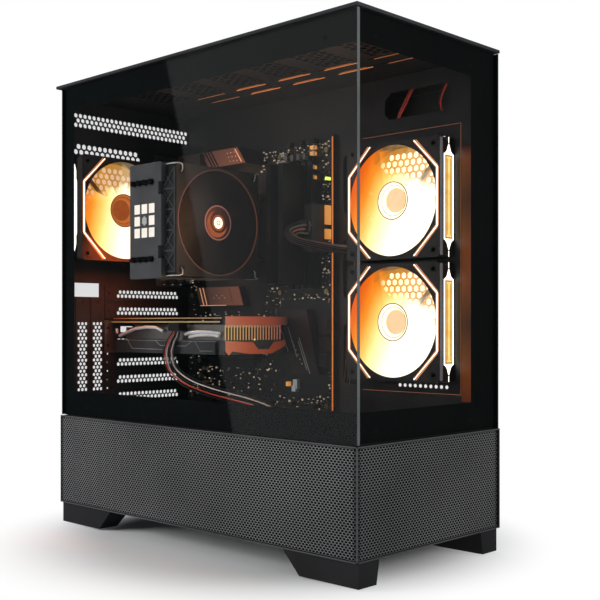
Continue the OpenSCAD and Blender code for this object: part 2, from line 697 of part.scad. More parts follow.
module rotor(d, hub, depth, blades) {
    hub_z1 = depth - stator_t - 0.8;
    chord = 0.62 * PI * (d + hub) / 2 / blades * 1.5;
    pitch = 36;
    translate([0, 0, 2]) cylinder(d = hub, h = hub_z1 - 2);
    translate([0, 0, hub_z1]) cylinder(d = shaft_d, h = depth - 0.5 - hub_z1);
    intersection() {
        for (k = [0:blades - 1]) rotate(360 * k / blades) translate([0, 0, (hub_z1 + 2) / 2])
            rotate([pitch, 0, 0]) translate([hub / 2 - 2, -chord / 2, -0.8])
                cube([d / 2, chord, 1.6]);
        translate([0, 0, 2.5]) cylinder(d = d, h = hub_z1 - 3, $fn = 96);
    }
}
module side_fan(k) along_u(side_fan_u, side_fan_mid, side_fan_z[k]) children();
module rear_fan() along_v(rear_fan_u, rear_fan_v, rear_fan_z) children();
module cooler_fan() along_v(cooler_fan_u, cooler_fan_v, cpu_z) children();
module side_fan_frame_upper() color("#26221f") in_case() side_fan(1) fan_frame(true);
module side_fan_frame_lower() color("#26221f") in_case() side_fan(0) fan_frame(true);
module side_fan_rotor_upper() color("#ffc46b") in_case() side_fan(1) rotor(rotor_d, hub_d, fan_t, fan_blades);
module side_fan_rotor_lower() color("#ffc46b") in_case() side_fan(0) rotor(rotor_d, hub_d, fan_t, fan_blades);
module rear_fan_frame() color("#26221f") in_case() rear_fan() fan_frame(true);
module rear_fan_rotor() color("#ffc46b") in_case() rear_fan() rotor(rotor_d, hub_d, fan_t, fan_blades);
module cooler_fan_frame() color("#2a2422") in_case() cooler_fan() fan_frame(false);
module cooler_fan_rotor() color("#4b3a35") in_case() cooler_fan() rotor(rotor_d, hub_d, fan_t, 7);
module fan_lights() color("#fff1d8") in_case() {
    for (k = [0, 1]) side_fan(k) fan_inlays();
    rear_fan() fan_inlays();
}
module fan_screws() color("#0f0f10") in_case() {
    reach = fan_screw_pitch / 2;
    for (z = side_fan_z, dv = [-reach, reach], dz = [-reach, reach]) {
        rod_u(4, u_tray - 7, u_tray + sheet_t, side_fan_mid + dv, z + dz);
        rod_u(8, u_tray + sheet_t, u_tray + sheet_t + 2, side_fan_mid + dv, z + dz);
    }
    for (du = [-reach, reach], dz = [-reach, reach]) {
        rod_v(4, v_rear - 7, v_back, rear_fan_u + du, rear_fan_z + dz);
        rod_v(8, v_back, v_back + 2, rear_fan_u + du, rear_fan_z + dz);
    }
}

// ---- cooler -------------------------------------------------------------------------
module pipe_path(d) for (v = pipe_v) {
    for (side = [-1, 1]) {
        z = cpu_z + side * pipe_span / 2;
        rod_u(d, cap_u - 4, pipe_u - pipe_bend, v, z);
        translate([pipe_u - pipe_bend, v, z - side * pipe_bend]) rotate([90, side < 0 ? 90 : 0, 0])
            rotate_extrude(angle = 90) translate([pipe_bend, 0]) circle(d = d);
    }
    rod_z(d, cpu_z - pipe_span / 2 + pipe_bend, cpu_z + pipe_span / 2 - pipe_bend, pipe_u, v);
}
module heat_pipes() color("#1d1d20") in_case() pipe_path(pipe_d);
module fin_stack() color("#8d8f92") in_case()
    for (u = [fin_u0:fin_pitch:fin_u1]) on_u(u, fin_t) difference() {
        area([fin_v0, fin_z0], [fin_v0 + fin_d, fin_z0 + fin_size]);
        for (v = pipe_v, side = [-1, 1]) dot(v, cpu_z + side * pipe_span / 2, pipe_d);
    }
module cooler_cap() color("#4c4e52") in_case() {
    on_u(cap_u, cap_t) difference() {
        soft_area([fin_v0 - 8, fin_z0 - 2], [fin_v0 + fin_d, fin_z0 + fin_size + 2], 2);
        for (v = pipe_v, side = [-1, 1]) dot(v, cpu_z + side * pipe_span / 2, pipe_d + 1.2);
        // Notches in the edge over the fan
        for (side = [-1, 1]) area([fin_v0 - 9, cpu_z + side * 34 - 7], [fin_v0 - 3, cpu_z + side * 34 + 7]);
    }
}
base_half = 22;
module cooler_base() color("#b5793f") in_case() {
    difference() {
        block([cooler_foot - cooler_base_t, cpu_v - base_half, cpu_z - base_half],
              [cooler_foot, cpu_v + base_half, cpu_z + base_half]);
        for (v = pipe_v) rod_z(pipe_d, cpu_z - 30, cpu_z + 30, pipe_u, v);
    }
    // Arms that clamp the cooler to the board
    for (side = [-1, 1]) {
        v = cpu_v + side * (base_half + 6);
        block([cooler_foot - 6, v - 6, cpu_z - 40], [cooler_foot - 3, v + 6, cpu_z + 40]);
        for (end = [-1, 1]) rod_u(6, cooler_foot - 3, board_u0, v, cpu_z + end * 36);
    }
}
module cpu_socket() color("#a9abae") in_case() {
    block([board_u0 - 4, cpu_v - 21, cpu_z - 28], [board_u0, cpu_v + 21, cpu_z + 28]);
    block([cooler_foot, cpu_v - 17, cpu_z - 19], [board_u0 - 4, cpu_v + 17, cpu_z + 19]);
}

// ---- main board ---------------------------------------------------------------------
module motherboard() color("#15171a") in_case() on_u(board_u0, board_t) difference() {
    area([board_v0, board_z0], [board_v1, board_z1]);
    for (p = board_holes) dot(p[0], p[1], board_hole_d);
}
module board_standoffs() color("#b08d4a") in_case() for (p = board_holes) {
    translate([board_u1, p[0], p[1]]) rotate([0, 90, 0]) cylinder(d = 5.5, h = standoff_h, $fn = 6);
    rod_u(3, board_u0, board_u1, p[0], p[1]);
    rod_u(6, board_u0 - 1.8, board_u0, p[0], p[1]);
    rod_u(3, u_tray, u_tray + sheet_t + 1, p[0], p[1]);
}
// Rear connectors: [distance of the near side from the board, height of the lower side, width, height]
port_shell = 0.6;
port_pitch = 17.5;
function port_z(k) = board_z1 - 31 - k * port_pitch;
rear_ports = concat(
    [for (k = [0, 1, 4, 5], row = [0, 1]) [row * 14.5, port_z(k), 13.5, 7.5]],
    [[0, port_z(2), 6.5, 15], [8, port_z(2), 9, 15], [18.5, port_z(2), 14, 14],
     [0, port_z(3), 16, 14], [17.5, port_z(3), 14, 14], [0, port_z(6), 13.5, 7.5],
     [14.5, port_z(6), 13.5, 7.5]]
);
sound_sockets = [for (k = [0:2], row = [0, 1]) [6 + k * 13, board_z1 - 142.5 - row * 11.5]];
module port_area(p, grow = 0)
    area([board_u0 - p[0] - p[2] - grow, p[1] - grow], [board_u0 - p[0] + grow, p[1] + p[3] + grow]);
module rear_io_ports() color("#8f9296") in_case() {
    depth = v_back + 1 - (board_v1 - 13);
    for (p = rear_ports) difference() {
        on_v(board_v1 - 13, depth) port_area(p);
        on_v(board_v1 - 11, depth) port_area(p, -port_shell);
    }
    for (p = sound_sockets) difference() {
        rod_v(9, board_v1 - 8, v_back + 1, board_u0 - p[0], p[1]);
        rod_v(jack_d, board_v1 - 7, v_back + 2, board_u0 - p[0], p[1]);
    }
    // Shield plate around the connectors
    on_v(v_rear - 0.5, 0.5) difference() {
        area([board_u0 - 45, board_z1 - 161], [board_u0 + 3, board_z1]);
        for (p = rear_ports) port_area(p, 0.3);
        for (p = sound_sockets) dot(board_u0 - p[0], p[1], 9.6);
    }
}
module board_heatsinks() color("#36302e") in_case() {
    // Over the power stages, along the top edge, with a slanted end
    on_u(board_u0 - 26, 26) polygon([
        [cpu_v - 27, board_z1 - 22], [cpu_v + 38, board_z1 - 22], [cpu_v + 52, board_z1 - 2],
        [cpu_v - 13, board_z1 - 2]
    ]);
    // Beside the rear connectors
    block([board_u0 - 34, board_v1 - 62, cpu_z - 22], [board_u0, board_v1 - 22, board_z1 - 4]);
    // Over the storage card and over the chipset
    on_u(board_u0 - 9, 9) polygon([
        [board_v1 - 112, slot_z1 - 14], [board_v1 - 34, slot_z1 - 14], [board_v1 - 26, slot_z1 + 9],
        [board_v1 - 104, slot_z1 + 9]
    ]);
    on_u(board_u0 - 9, 9) polygon([
        [board_v0 + 12, slot_z(6) + 10], [board_v0 + 52, slot_z(6) + 10],
        [board_v0 + 70, slot_z(3) + 21], [board_v0 + 30, slot_z(3) + 21]
    ]);
}
slot_socket_v1 = board_v1 - 45;
module card_socket(k, l) {
    z = slot_z(k) + 7;
    difference() {
        block([board_u0 - 11, slot_socket_v1 - l, z - 3.75], [board_u0, slot_socket_v1, z + 3.75]);
        block([board_u0 - 12, slot_socket_v1 - l + 2, z - board_t / 2 - 0.1],
              [board_u0 - 3, slot_socket_v1 - 2, z + board_t / 2 + 0.1]);
    }
}
module memory_socket(v) {
    z0 = memory_z0 - 4;
    z1 = memory_z0 + memory_l + 4;
    difference() {
        block([board_u0 - memory_socket_h, v - 3.2, z0], [board_u0, v + 3.2, z1]);
        block([board_u0 - memory_socket_h - 1, v - 0.75, memory_z0 - 0.3],
              [board_u0 - 3, v + 0.75, memory_z0 + memory_l + 0.3]);
    }
    // Cheeks that hold the latch pin
    for (side = [-1, 1]) difference() {
        block([board_u0 - memory_socket_h - 3, v + (side < 0 ? -3.2 : 2), z1], 
              [board_u0, v + (side < 0 ? -2 : 3.2), z1 + 5]);
        rod_v(latch_pin_d + 2 * latch_gap, v - 5, v + 5, latch_u(), latch_z());
    }
}
function latch_u() = board_u0 - 5;
function latch_z() = memory_z0 + memory_l + 6.8;
module board_sockets() color("#101113") in_case() {
    for (k = [card_slot, 5]) card_socket(k, 89);
    for (k = [4, 7]) card_socket(k, 25);
    for (v = memory_v) memory_socket(v);
    // Main power socket with its plug, processor power, drive sockets and headers
    block([board_u0 - 27, main_plug_v - 5, main_plug_z - 26], [board_u0, main_plug_v + 5, main_plug_z + 26]);
    block([board_u0 - 13, board_v1 - 53, board_z1 - 3.5], [board_u0, board_v1 - 33, board_z1 + 4]);
    for (k = [0:2]) block([board_u0 - 9, board_v0 + 1, board_z0 + 50 + k * 18],
                          [board_u0, board_v0 + 11, board_z0 + 64 + k * 18]);
    for (k = [0:5]) block([board_u0 - 8, board_v0 + 20 + k * 34, board_z0 + 3],
                          [board_u0, board_v0 + 42 + k * 34, board_z0 + 8]);
    for (k = [0:2]) block([board_u0 - 8, board_v0 + 20 + k * 18, board_z1 - 8],
                          [board_u0, board_v0 + 32 + k * 18, board_z1 - 3]);
}
module memory_modules() color("#131417") in_case() for (k = [1, 3]) if (k < memory_count) {
    v = memory_v[k];
    block([board_u0 - 34, v - 0.6, memory_z0], [board_u0 - 3.2, v + 0.6, memory_z0 + memory_l]);
    difference() {
        block([board_u0 - 44, v - 3.6, memory_z0 + 1], [board_u0 - memory_socket_h - 4, v + 3.6, memory_z0 + memory_l - 1]);
        block([board_u0 - 34, v - 0.6, memory_z0], [board_u0, v + 0.6, memory_z0 + memory_l]);
    }
}
module memory_latch(k) if (k < memory_count) color("#d7d8da") in_case() {
    v = memory_v[k];
    difference() {
        union() {
            block([board_u0 - 17, v - 1.8, latch_z() - 1.6], [latch_u() + 2, v + 1.8, latch_z() + 1.6]);
            block([board_u0 - 17, v - 1.8, latch_z() + 1.6], [board_u0 - 14, v + 1.8, latch_z() + 5]);
            rod_v(3.2, v - 1.8, v + 1.8, latch_u(), latch_z());
        }
    }
    rod_v(latch_pin_d, v - 3.2, v + 3.2, latch_u(), latch_z());
}
module memory_latch_1() memory_latch(0);
module memory_latch_2() memory_latch(1);
module memory_latch_3() memory_latch(2);
module memory_latch_4() memory_latch(3);

// ---- graphics card ------------------------------------------------------------------
module gpu_board() color("#1c1a14") in_case() {
    on_z(card_z - board_t / 2, board_t) {
        area([card_u0 + 2, card_v0 + 6], [board_u0 - 12, card_v1]);
        area([board_u0 - 12, slot_socket_v1 - 87], [board_u0 - 3.2, slot_socket_v1 - 2]);
    }
    // Power socket on the edge towards the glass
    block([card_u0 - 6, gpu_plug_v() - 9, card_z - board_t / 2 - 9],
          [card_u0 + 6, gpu_plug_v() + 9, card_z - board_t / 2]);
}
function gpu_plug_v() = gpu_route[0][1];
module gpu_bracket() color("#9b9ea2") in_case() {
    z0 = slot_z(card_slot + 1) - 9;
    z1 = slot_z(card_slot) + 9;
    on_v(v_rear - cover_plate_t, cover_plate_t) difference() {
        area([slot_u0 - 11, z0], [slot_u1 + 3, z1]);
        for (k = [card_slot, card_slot + 1]) dot(slot_u0 - 6, slot_z(k), 3.4);
        for (k = [0:2]) area([slot_u0 + 12 + k * 28, card_z - 12], [slot_u0 + 30 + k * 28, card_z - 5]);
        hex_rows([slot_u0 + 10, z0 + 5], 15, 3, 6, 5);
    }
}
gpu_fin_pitch = 4.3;
module gpu_heatsink() color("#a8a9ab") in_case() {
    first = card_u0 + 7;
    for (u = [first:gpu_fin_pitch:first + 84])
        block([u, card_v0 + 4, gpu_fin_z0], [u + 0.8, card_v1 - 22, gpu_fin_z1 - 3]);
    block([first, card_v0 + 4, gpu_fin_z1 - 3], [first + 84, gpu_plug_v() - 14, gpu_fin_z1]);
    block([first + 12, gpu_plug_v() - 14, gpu_fin_z1 - 3], [first + 84, card_v1 - 22, gpu_fin_z1]);
    block([card_u0 + 50, card_v0 + 70, gpu_fin_z1], [card_u0 + 80, card_v0 + 105, card_z - board_t / 2]);
}
module gpu_shroud() color("#2a2b2e") in_case() {
    u1 = card_u0 + 94;
    lip = 2.5;
    depth = gpu_fin_z0 - gpu_shroud_z0 - 0.5;
    // Lower cover with a round opening for each fan
    on_z(gpu_shroud_z0, depth) difference() {
        union() {
            area([card_u0 + 4, card_v0 + 2], [u1, card_v1 - 4]);
            area([card_u0, card_v0 + 12], [card_u0 + 4, card_v1 - 20]);
        }
        for (v = gpu_fan_v) dot(gpu_fan_u, v, gpu_fan_d + 4);
    }
    // Bridges that carry the fan motors
    for (v = gpu_fan_v) difference() {
        union() {
            translate([gpu_fan_u, v, gpu_shroud_z0 + depth - 2.5]) cylinder(d = 34, h = 2.5);
            block([gpu_fan_u - gpu_fan_d / 2 - 3, v - 2, gpu_shroud_z0 + depth - 2.5],
                  [gpu_fan_u + gpu_fan_d / 2 + 3, v + 2, gpu_shroud_z0 + depth]);
        }
        rod_z(shaft_d + 2 * shaft_gap, gpu_shroud_z0, gpu_shroud_z0 + 30, gpu_fan_u, v);
    }
    // Band across the front end and the plate over the board
    on_z(card_z - 3.4, 9.4) area([card_u0 + 4, card_v0], [u1 + 4, card_v0 + 3]);
    on_v(card_v0, 2) difference() {
        polygon([
            [card_u0 + 4, card_z - 20], [card_u0 + 4, gpu_shroud_z0 + 3], [card_u0 + 9, gpu_shroud_z0 - 1],
            [card_u0 + 14, gpu_shroud_z0 + 3], [card_u0 + 40, gpu_shroud_z0], [card_u0 + 72, gpu_shroud_z0],
            [u1, gpu_shroud_z0 + 8], [u1, card_z - 20]
        ]);
        polygon([[card_u0 + 44, card_z - 22], [card_u0 + 52, gpu_shroud_z0 + 5],
                 [card_u0 + 68, gpu_shroud_z0 + 5], [card_u0 + 76, card_z - 22]]);
    }
    on_z(card_z + 3.4, 1.4) area([card_u0 + 2, card_v0 + 3], [board_u0 - 14, card_v1 - 4]);
}
module gpu_rotor() {
    depth = 14;
    hub = 34;
    translate([0, 0, 2]) cylinder(d = hub, h = 7);
    translate([0, 0, 9]) cylinder(d = shaft_d, h = 5);
    intersection() {
        for (k = [0:10]) rotate(360 * k / 11) translate([0, 0, 5.5]) rotate([28, 0, 0])
            translate([hub / 2 - 2, -9, -0.6]) cube([40, 18, 1.2]);
        translate([0, 0, 2]) cylinder(d = gpu_fan_d, h = 8);
    }
}
module gpu_fan(k) color("#3a3b3e") in_case() translate([gpu_fan_u, gpu_fan_v[k], gpu_shroud_z0]) gpu_rotor();
module gpu_fan_front() gpu_fan(0);
module gpu_fan_rear() gpu_fan(1);

// ---- power supply and drives --------------------------------------------------------
inlet_u = psu_u0 + 34;
inlet_z = psu_z0 + psu_h / 2;
switch_u = inlet_u + 34;
module psu_case() color("#232427") in_case() {
    u1 = psu_u0 + psu_w;
    z1 = psu_z0 + psu_h;
    fan_u = psu_u0 + psu_w / 2;
    fan_v = psu_v0 + psu_d / 2;
    difference() {
        block([psu_u0, psu_v0, psu_z0], [u1, v_rear, z1]);
        block([psu_u0 + psu_wall, psu_v0 + psu_wall, psu_z0 + psu_wall],
              [u1 - psu_wall, v_rear - psu_wall, z1 - psu_wall]);
        rod_z(psu_fan_d + 3, psu_z0 - 1, psu_z0 + 3, fan_u, fan_v);
        on_v(v_rear - 2, 4) {
            hex_rows([switch_u + 18, psu_z0 + 14], 8, 8, 8, 6.8);
            area([inlet_u - 13.5, inlet_z - 10], [inlet_u + 13.5, inlet_z + 10]);
            area([switch_u - 7, inlet_z - 10.5], [switch_u + 7, inlet_z + 10.5]);
            for (p = psu_screws()) dot(psu_u0 + p[0], psu_z0 + p[1], 3);
        }
        on_v(psu_v0 - 1, 4) soft_area([psu_u0 + 52, psu_z0 + 26], [psu_u0 + 118, psu_z0 + 58], 6);
    }
    // Inlet for a mains lead, with its three blades
    difference() {
        block([inlet_u - 13.5, v_rear - 22, inlet_z - 10], [inlet_u + 13.5, v_back + 1, inlet_z + 10]);
        block([inlet_u - 12, v_rear - 17, inlet_z - 8], [inlet_u + 12, v_back + 2, inlet_z + 8]);
    }
    for (p = [[-7, -3], [0, 3], [7, -3]])
        block([inlet_u + p[0] - 1, v_rear - 17, inlet_z + p[1] - 2], [inlet_u + p[0] + 1, v_rear - 2, inlet_z + p[1] + 2]);
    // Frame of the rocker switch, with a pivot pin through it
    difference() {
        block([switch_u - 7, v_rear - 16, inlet_z - 10.5], [switch_u + 7, v_back + 0.6, inlet_z + 10.5]);
        block([switch_u - 5.5, v_rear - 14, inlet_z - 9], [switch_u + 5.5, v_back + 1, inlet_z + 9]);
    }
    rod_u(rocker_pin_d, switch_u - 6, switch_u + 6, v_rear - 5, inlet_z);
    // Motor mount of the fan
    translate([fan_u, fan_v, psu_z0 + psu_wall]) difference() {
        union() {
            translate([0, 0, fan_t - stator_t]) cylinder(d = hub_d - 2, h = stator_t);
            for (k = [0:3]) rotate(45 + 90 * k) translate([0, -2.5, fan_t - stator_t])
                cube([psu_fan_d / 2 + 6, 5, stator_t]);
            difference() {
                cylinder(d = psu_fan_d + 12, h = fan_t, $fn = 96);
                translate([0, 0, -1]) cylinder(d = psu_fan_d + 3, h = fan_t + 2, $fn = 96);
            }
        }
        translate([0, 0, fan_t - stator_t - 1]) cylinder(d = shaft_d + 2 * shaft_gap, h = stator_t + 2);
    }
}
rocker_pin_d = 2;
rocker_gap = 0.05;
module psu_switch() color("#0c0c0d") in_case() difference() {
    on_u(switch_u - 5.2, 10.4) polygon([
        [v_rear - 8.5, inlet_z - 3], [v_back - 0.4, inlet_z - 6.5], [v_rear - 0.8, inlet_z],
        [v_back + 1.4, inlet_z + 6.5], [v_rear - 8.5, inlet_z + 3]
    ]);
    rod_u(rocker_pin_d + 2 * rocker_gap, switch_u - 7, switch_u + 7, v_rear - 5, inlet_z);
}
module psu_fan() color("#1b1c1e") in_case()
    translate([psu_u0 + psu_w / 2, psu_v0 + psu_d / 2, psu_z0 + psu_wall]) rotor(psu_fan_d, hub_d, fan_t, 7);

module drive_cage() color("#2c2d30") in_case() {
    u1 = cage_u0 + cage_w;
    v1 = cage_v0 + drive_l - 20;
    h = 76;
    for (u = [cage_u0, u1 - sheet_t]) on_u(u, sheet_t) difference() {
        area([cage_v0, z_floor], [v1, z_floor + h]);
        for (v = [cage_v0 + 14, cage_v0 + 70]) soft_area([v, z_floor + 8], [v + 42, z_floor + 26], 4);
        for (v = [cage_v0 + 14, cage_v0 + 70]) soft_area([v, z_floor + 44], [v + 42, z_floor + 62], 4);
    }
    on_z(z_floor + h, sheet_t) difference() {
        area([cage_u0, cage_v0], [u1, v1]);
        soft_area([cage_u0 + 18, cage_v0 + 18], [u1 - 18, v1 - 18], 6);
    }
    // Ledges that the drives lie on
    for (z = [z_floor + 4, z_floor + 40]) {
        block([cage_u0 + sheet_t, cage_v0, z], [cage_u0 + sheet_t + 7, v1, z + sheet_t]);
        block([u1 - sheet_t - 7, cage_v0, z], [u1 - sheet_t, v1, z + sheet_t]);
    }
}
module drives() color("#77797d") in_case() {
    u0 = cage_u0 + sheet_t + 0.5;
    // Hard drive in the lower bay and a solid-state drive above it
    block([u0, cage_v0 - 8, z_floor + 4 + sheet_t], [u0 + drive_w, cage_v0 - 8 + drive_l, z_floor + 4 + sheet_t + 26.1]);
    block([u0, cage_v0 + 10, z_floor + 40 + sheet_t], [u0 + drive_w, cage_v0 + 112, z_floor + 40 + sheet_t + 2]);
    block([u0 + 16, cage_v0 + 10, z_floor + 42 + sheet_t], [u0 + 86, cage_v0 + 110, z_floor + 42 + sheet_t + 7]);
}

// ---- leads --------------------------------------------------------------------------
module main_power_cable() color("#17181a") in_case() lead(main_route, main_cable_d, [0, 0, 1]);
module gpu_power_cable() color("#4a4444") in_case() lead(gpu_route, gpu_cable_d, [1, 0, 0]);

// ---- output -------------------------------------------------------------------------
base_pan();
feet();
foot_pads();
rear_panel();
board_tray();
roof_panel();
front_frame();
psu_shroud();
top_cover();
top_filter();
bottom_filter();
io_panel();
front_ports();
power_button();
reset_button();
left_glass();
front_glass();
left_mesh();
front_mesh();
right_panel();
panel_thumbscrews();
slot_covers();
side_fan_frame_upper();
side_fan_frame_lower();
side_fan_rotor_upper();
side_fan_rotor_lower();
rear_fan_frame();
rear_fan_rotor();
fan_lights();
fan_screws();
cooler_fan_frame();
cooler_fan_rotor();
fin_stack();
heat_pipes();
cooler_base();
cooler_cap();
cpu_socket();
motherboard();
board_standoffs();
rear_io_ports();
board_heatsinks();
board_sockets();
memory_modules();
memory_latch_1();
memory_latch_2();
memory_latch_3();
memory_latch_4();
gpu_board();
gpu_bracket();
gpu_heatsink();
gpu_shroud();
gpu_fan_front();
gpu_fan_rear();
psu_case();
psu_fan();
psu_switch();
drive_cage();
drives();
main_power_cable();
gpu_power_cable();
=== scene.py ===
import json
import math
import random

import bpy
from mathutils import Matrix, Vector


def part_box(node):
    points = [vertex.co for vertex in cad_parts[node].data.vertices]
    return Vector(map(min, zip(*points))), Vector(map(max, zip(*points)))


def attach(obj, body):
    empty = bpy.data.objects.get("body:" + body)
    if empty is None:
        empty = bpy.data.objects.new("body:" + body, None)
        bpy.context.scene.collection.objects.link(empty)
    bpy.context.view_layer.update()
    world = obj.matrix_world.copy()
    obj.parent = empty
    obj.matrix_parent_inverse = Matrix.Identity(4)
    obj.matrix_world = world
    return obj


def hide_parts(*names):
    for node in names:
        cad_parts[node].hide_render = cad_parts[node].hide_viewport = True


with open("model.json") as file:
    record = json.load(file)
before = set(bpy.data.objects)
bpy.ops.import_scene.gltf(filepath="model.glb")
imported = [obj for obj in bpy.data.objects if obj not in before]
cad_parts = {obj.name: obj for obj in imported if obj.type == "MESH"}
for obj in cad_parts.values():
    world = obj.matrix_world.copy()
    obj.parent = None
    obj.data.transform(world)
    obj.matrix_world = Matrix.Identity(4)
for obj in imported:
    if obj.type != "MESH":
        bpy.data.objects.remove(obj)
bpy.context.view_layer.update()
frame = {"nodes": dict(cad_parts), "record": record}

# ---- measures, in millimetres from the front left corner of the glass: u right, v back, z up ----
CASE_W = 215.0
CASE_D = 445.0
CASE_V0 = -226.25
GLASS_T = 4.0
PROUD = 1.5
GLASS_Z = (123.5, 496.5)
BOARD_U = 176.9
BOARD_V = (188.0, 432.0)
BOARD_Z = (130.0, 435.0)
REAR_V = 440.0
FAN = 120.0
FAN_BORE = 116.0
SIDE_FANS = ((91.0, 353.0), (91.0, 229.0))
SIDE_FAN_U = 160.0
REAR_FAN = (67.0, 360.0)
REAR_FAN_V = 415.0
COOLER_FAN = (90.9, 338.0)
COOLER_FAN_V = 277.0
PORT_LOW = [404.0 - 17.5 * k for k in range(6)]
FAN_SCREW = 52.5
HUB_R = 18.6
VIEW_Z = (151.0, 468.5)
WALL_FACE = 184.95
U_AXIS = (1, 0, 0)
V_AXIS = (0, 1, 0)
Z_AXIS = (0, 0, 1)


def at(u, v, z):
    """A point of the case's own measures, in the frame's metres."""
    return Vector(((u - CASE_W / 2) / 1000, (v + CASE_V0) / 1000, z / 1000))


# ---- materials ---------------------------------------------------------------------------------
def link(mat, a, b):
    mat.node_tree.links.new(a, b)


def add_node(mat, kind, **values):
    node = mat.node_tree.nodes.new(kind)
    for name, value in values.items():
        if hasattr(node, name):
            setattr(node, name, value)
        else:
            node.inputs[name].default_value = value
    return node


def shades(colour, spread):
    """A darker and a lighter shade of a colour."""
    low = tuple(max(c * (1 - spread), 0) for c in colour)
    high = tuple(min(c * (1 + spread), 1) for c in colour)
    return (*low, 1), (*high, 1)


M = {}


def new_material(name):
    """Each new material is kept in M under its name."""
    mat = bpy.data.materials.new(name)
    mat.use_nodes = True
    M[name] = mat
    return mat, mat.node_tree.nodes["Principled BSDF"]


def noise(mat, scale, detail=3.0, stretch=(1, 1, 1)):
    """Noise in the frame's own metres; stretch draws it out along an axis."""
    place = add_node(mat, "ShaderNodeTexCoord")
    mapping = add_node(mat, "ShaderNodeMapping")
    mapping.inputs["Scale"].default_value = stretch
    link(mat, place.outputs["Object"], mapping.inputs["Vector"])
    tex = add_node(mat, "ShaderNodeTexNoise", Scale=scale, Detail=detail)
    link(mat, mapping.outputs["Vector"], tex.inputs["Vector"])
    return tex.outputs["Fac"]


def ramp(mat, source, stops):
    node = add_node(mat, "ShaderNodeValToRGB")
    link(mat, source, node.inputs["Fac"])
    while len(node.color_ramp.elements) < len(stops):
        node.color_ramp.elements.new(0.5)
    for element, (place, colour) in zip(node.color_ramp.elements, stops):
        element.position = place
        element.color = colour if len(colour) == 4 else (*colour, 1)
    return node.outputs["Color"]


def even(low, high):
    """Stops for a colour that only wanders between two shades."""
    return [(0.3, low), (0.7, high)]


def surface(name, colour, rough, metal=0.0, grain=900, bump=0.12, spread=0.2, patch=25,
            stretch=(1, 1, 1), coat=0.0, alpha=1.0, specular=0.5):
    """A painted, moulded or bare surface: uneven colour, uneven gloss and a fine grain."""
    mat, shader = new_material(name)
    low, high = shades(colour, spread)
    link(mat, ramp(mat, noise(mat, patch), even(low, high)), shader.inputs["Base Color"])
    uneven = add_node(mat, "ShaderNodeMapRange")
    uneven.inputs["To Min"].default_value = rough * 0.82
    uneven.inputs["To Max"].default_value = min(rough * 1.18, 1)
    link(mat, noise(mat, patch * 6, 5, stretch), uneven.inputs["Value"])
    link(mat, uneven.outputs["Result"], shader.inputs["Roughness"])
    relief = add_node(mat, "ShaderNodeBump", Strength=bump, Distance=0.0004)
    link(mat, noise(mat, grain, 2, stretch), relief.inputs["Height"])
    link(mat, relief.outputs["Normal"], shader.inputs["Normal"])
    shader.inputs["Metallic"].default_value = metal
    shader.inputs["Coat Weight"].default_value = coat
    shader.inputs["Alpha"].default_value = alpha
    shader.inputs["Specular IOR Level"].default_value = specular
    return mat


def along(mat, axis, start, end):
    """From 0 at start to 1 at end, measured along an axis of the frame."""
    place = add_node(mat, "ShaderNodeTexCoord")
    dot = add_node(mat, "ShaderNodeVectorMath", operation="DOT_PRODUCT")
    dot.inputs[1].default_value = axis
    link(mat, place.outputs["Object"], dot.inputs[0])
    span = add_node(mat, "ShaderNodeMapRange")
    span.inputs["From Min"].default_value = Vector(axis).dot(start)
    span.inputs["From Max"].default_value = Vector(axis).dot(end)
    link(mat, dot.outputs["Value"], span.inputs["Value"])
    return span.outputs["Result"]


GLOW_BASE = (0.3, 0.2, 0.1)


def glow(name, stops, strength, axis=V_AXIS, start=None, end=None, base=GLOW_BASE, rough=0.4):
    """A lit surface whose colour runs through the stops along an axis."""
    mat, shader = new_material(name)
    shader.inputs["Base Color"].default_value = (*base, 1)
    shader.inputs["Roughness"].default_value = rough
    shader.inputs["Emission Strength"].default_value = strength
    if start is None:
        fac = noise(mat, 120)
    else:
        fac = along(mat, axis, start, end)
    link(mat, ramp(mat, fac, stops), shader.inputs["Emission Color"])
    mat.cycles.emission_sampling = "NONE"
    return mat


def faded(name, stops, strength, axis, start, end, base=GLOW_BASE, rough=0.4):
    """A surface of painted light that fades along one of the case's axes, between two of its measures."""
    ends = [at(*(value * part for part in axis)) for value in (start, end)]
    return glow(name, stops, strength, axis, *ends, base, rough)


surface("chassis_steel", (0.019, 0.0185, 0.0195), 0.45, grain=1500, bump=0.18)
surface("cover_steel", (0.014, 0.0145, 0.016), 0.5, grain=1300, bump=0.3)
# Painted shade: near black for the dark interior seen through the mesh holes
surface("painted_hole_shade", (0.003, 0.003, 0.0035), 0.8, grain=700, specular=0.08)
surface("mesh_steel", (0.17, 0.17, 0.174), 0.5, metal=0.25, grain=1800, patch=8)
surface("mesh_edge", (0.05, 0.05, 0.052), 0.5, grain=1800, patch=8)
surface("foot_plastic", (0.012, 0.012, 0.013), 0.5, grain=1100, bump=0.25, patch=14, specular=0.2)
surface("pad_rubber", (0.012, 0.012, 0.013), 0.85, grain=600, bump=0.4)
surface("filter_mesh", (0.018, 0.018, 0.02), 0.75, grain=2600, bump=0.6)
surface("case_plastic", (0.013, 0.013, 0.015), 0.45, grain=1400, bump=0.25)
surface("port_metal", (0.5, 0.51, 0.53), 0.3, metal=1, stretch=(1, 12, 1))
surface("button_plastic", (0.5, 0.5, 0.52), 0.25, grain=300, bump=0.03)
surface("screw_steel", (0.03, 0.03, 0.032), 0.35, metal=0.8, grain=2200)
surface("fan_plastic", (0.02, 0.017, 0.016), 0.4, grain=1500, bump=0.15)
surface("fin_aluminium", (0.42, 0.4, 0.38), 0.35, metal=0.9, stretch=(1, 1, 20))
surface("black_nickel", (0.03, 0.03, 0.034), 0.18, metal=0.9, grain=400, bump=0.02)
surface("copper_base", (0.6, 0.3, 0.16), 0.3, metal=1, stretch=(1, 15, 1))
surface("cap_metal", (0.085, 0.087, 0.094), 0.4, metal=0.3, stretch=(1, 1, 14))
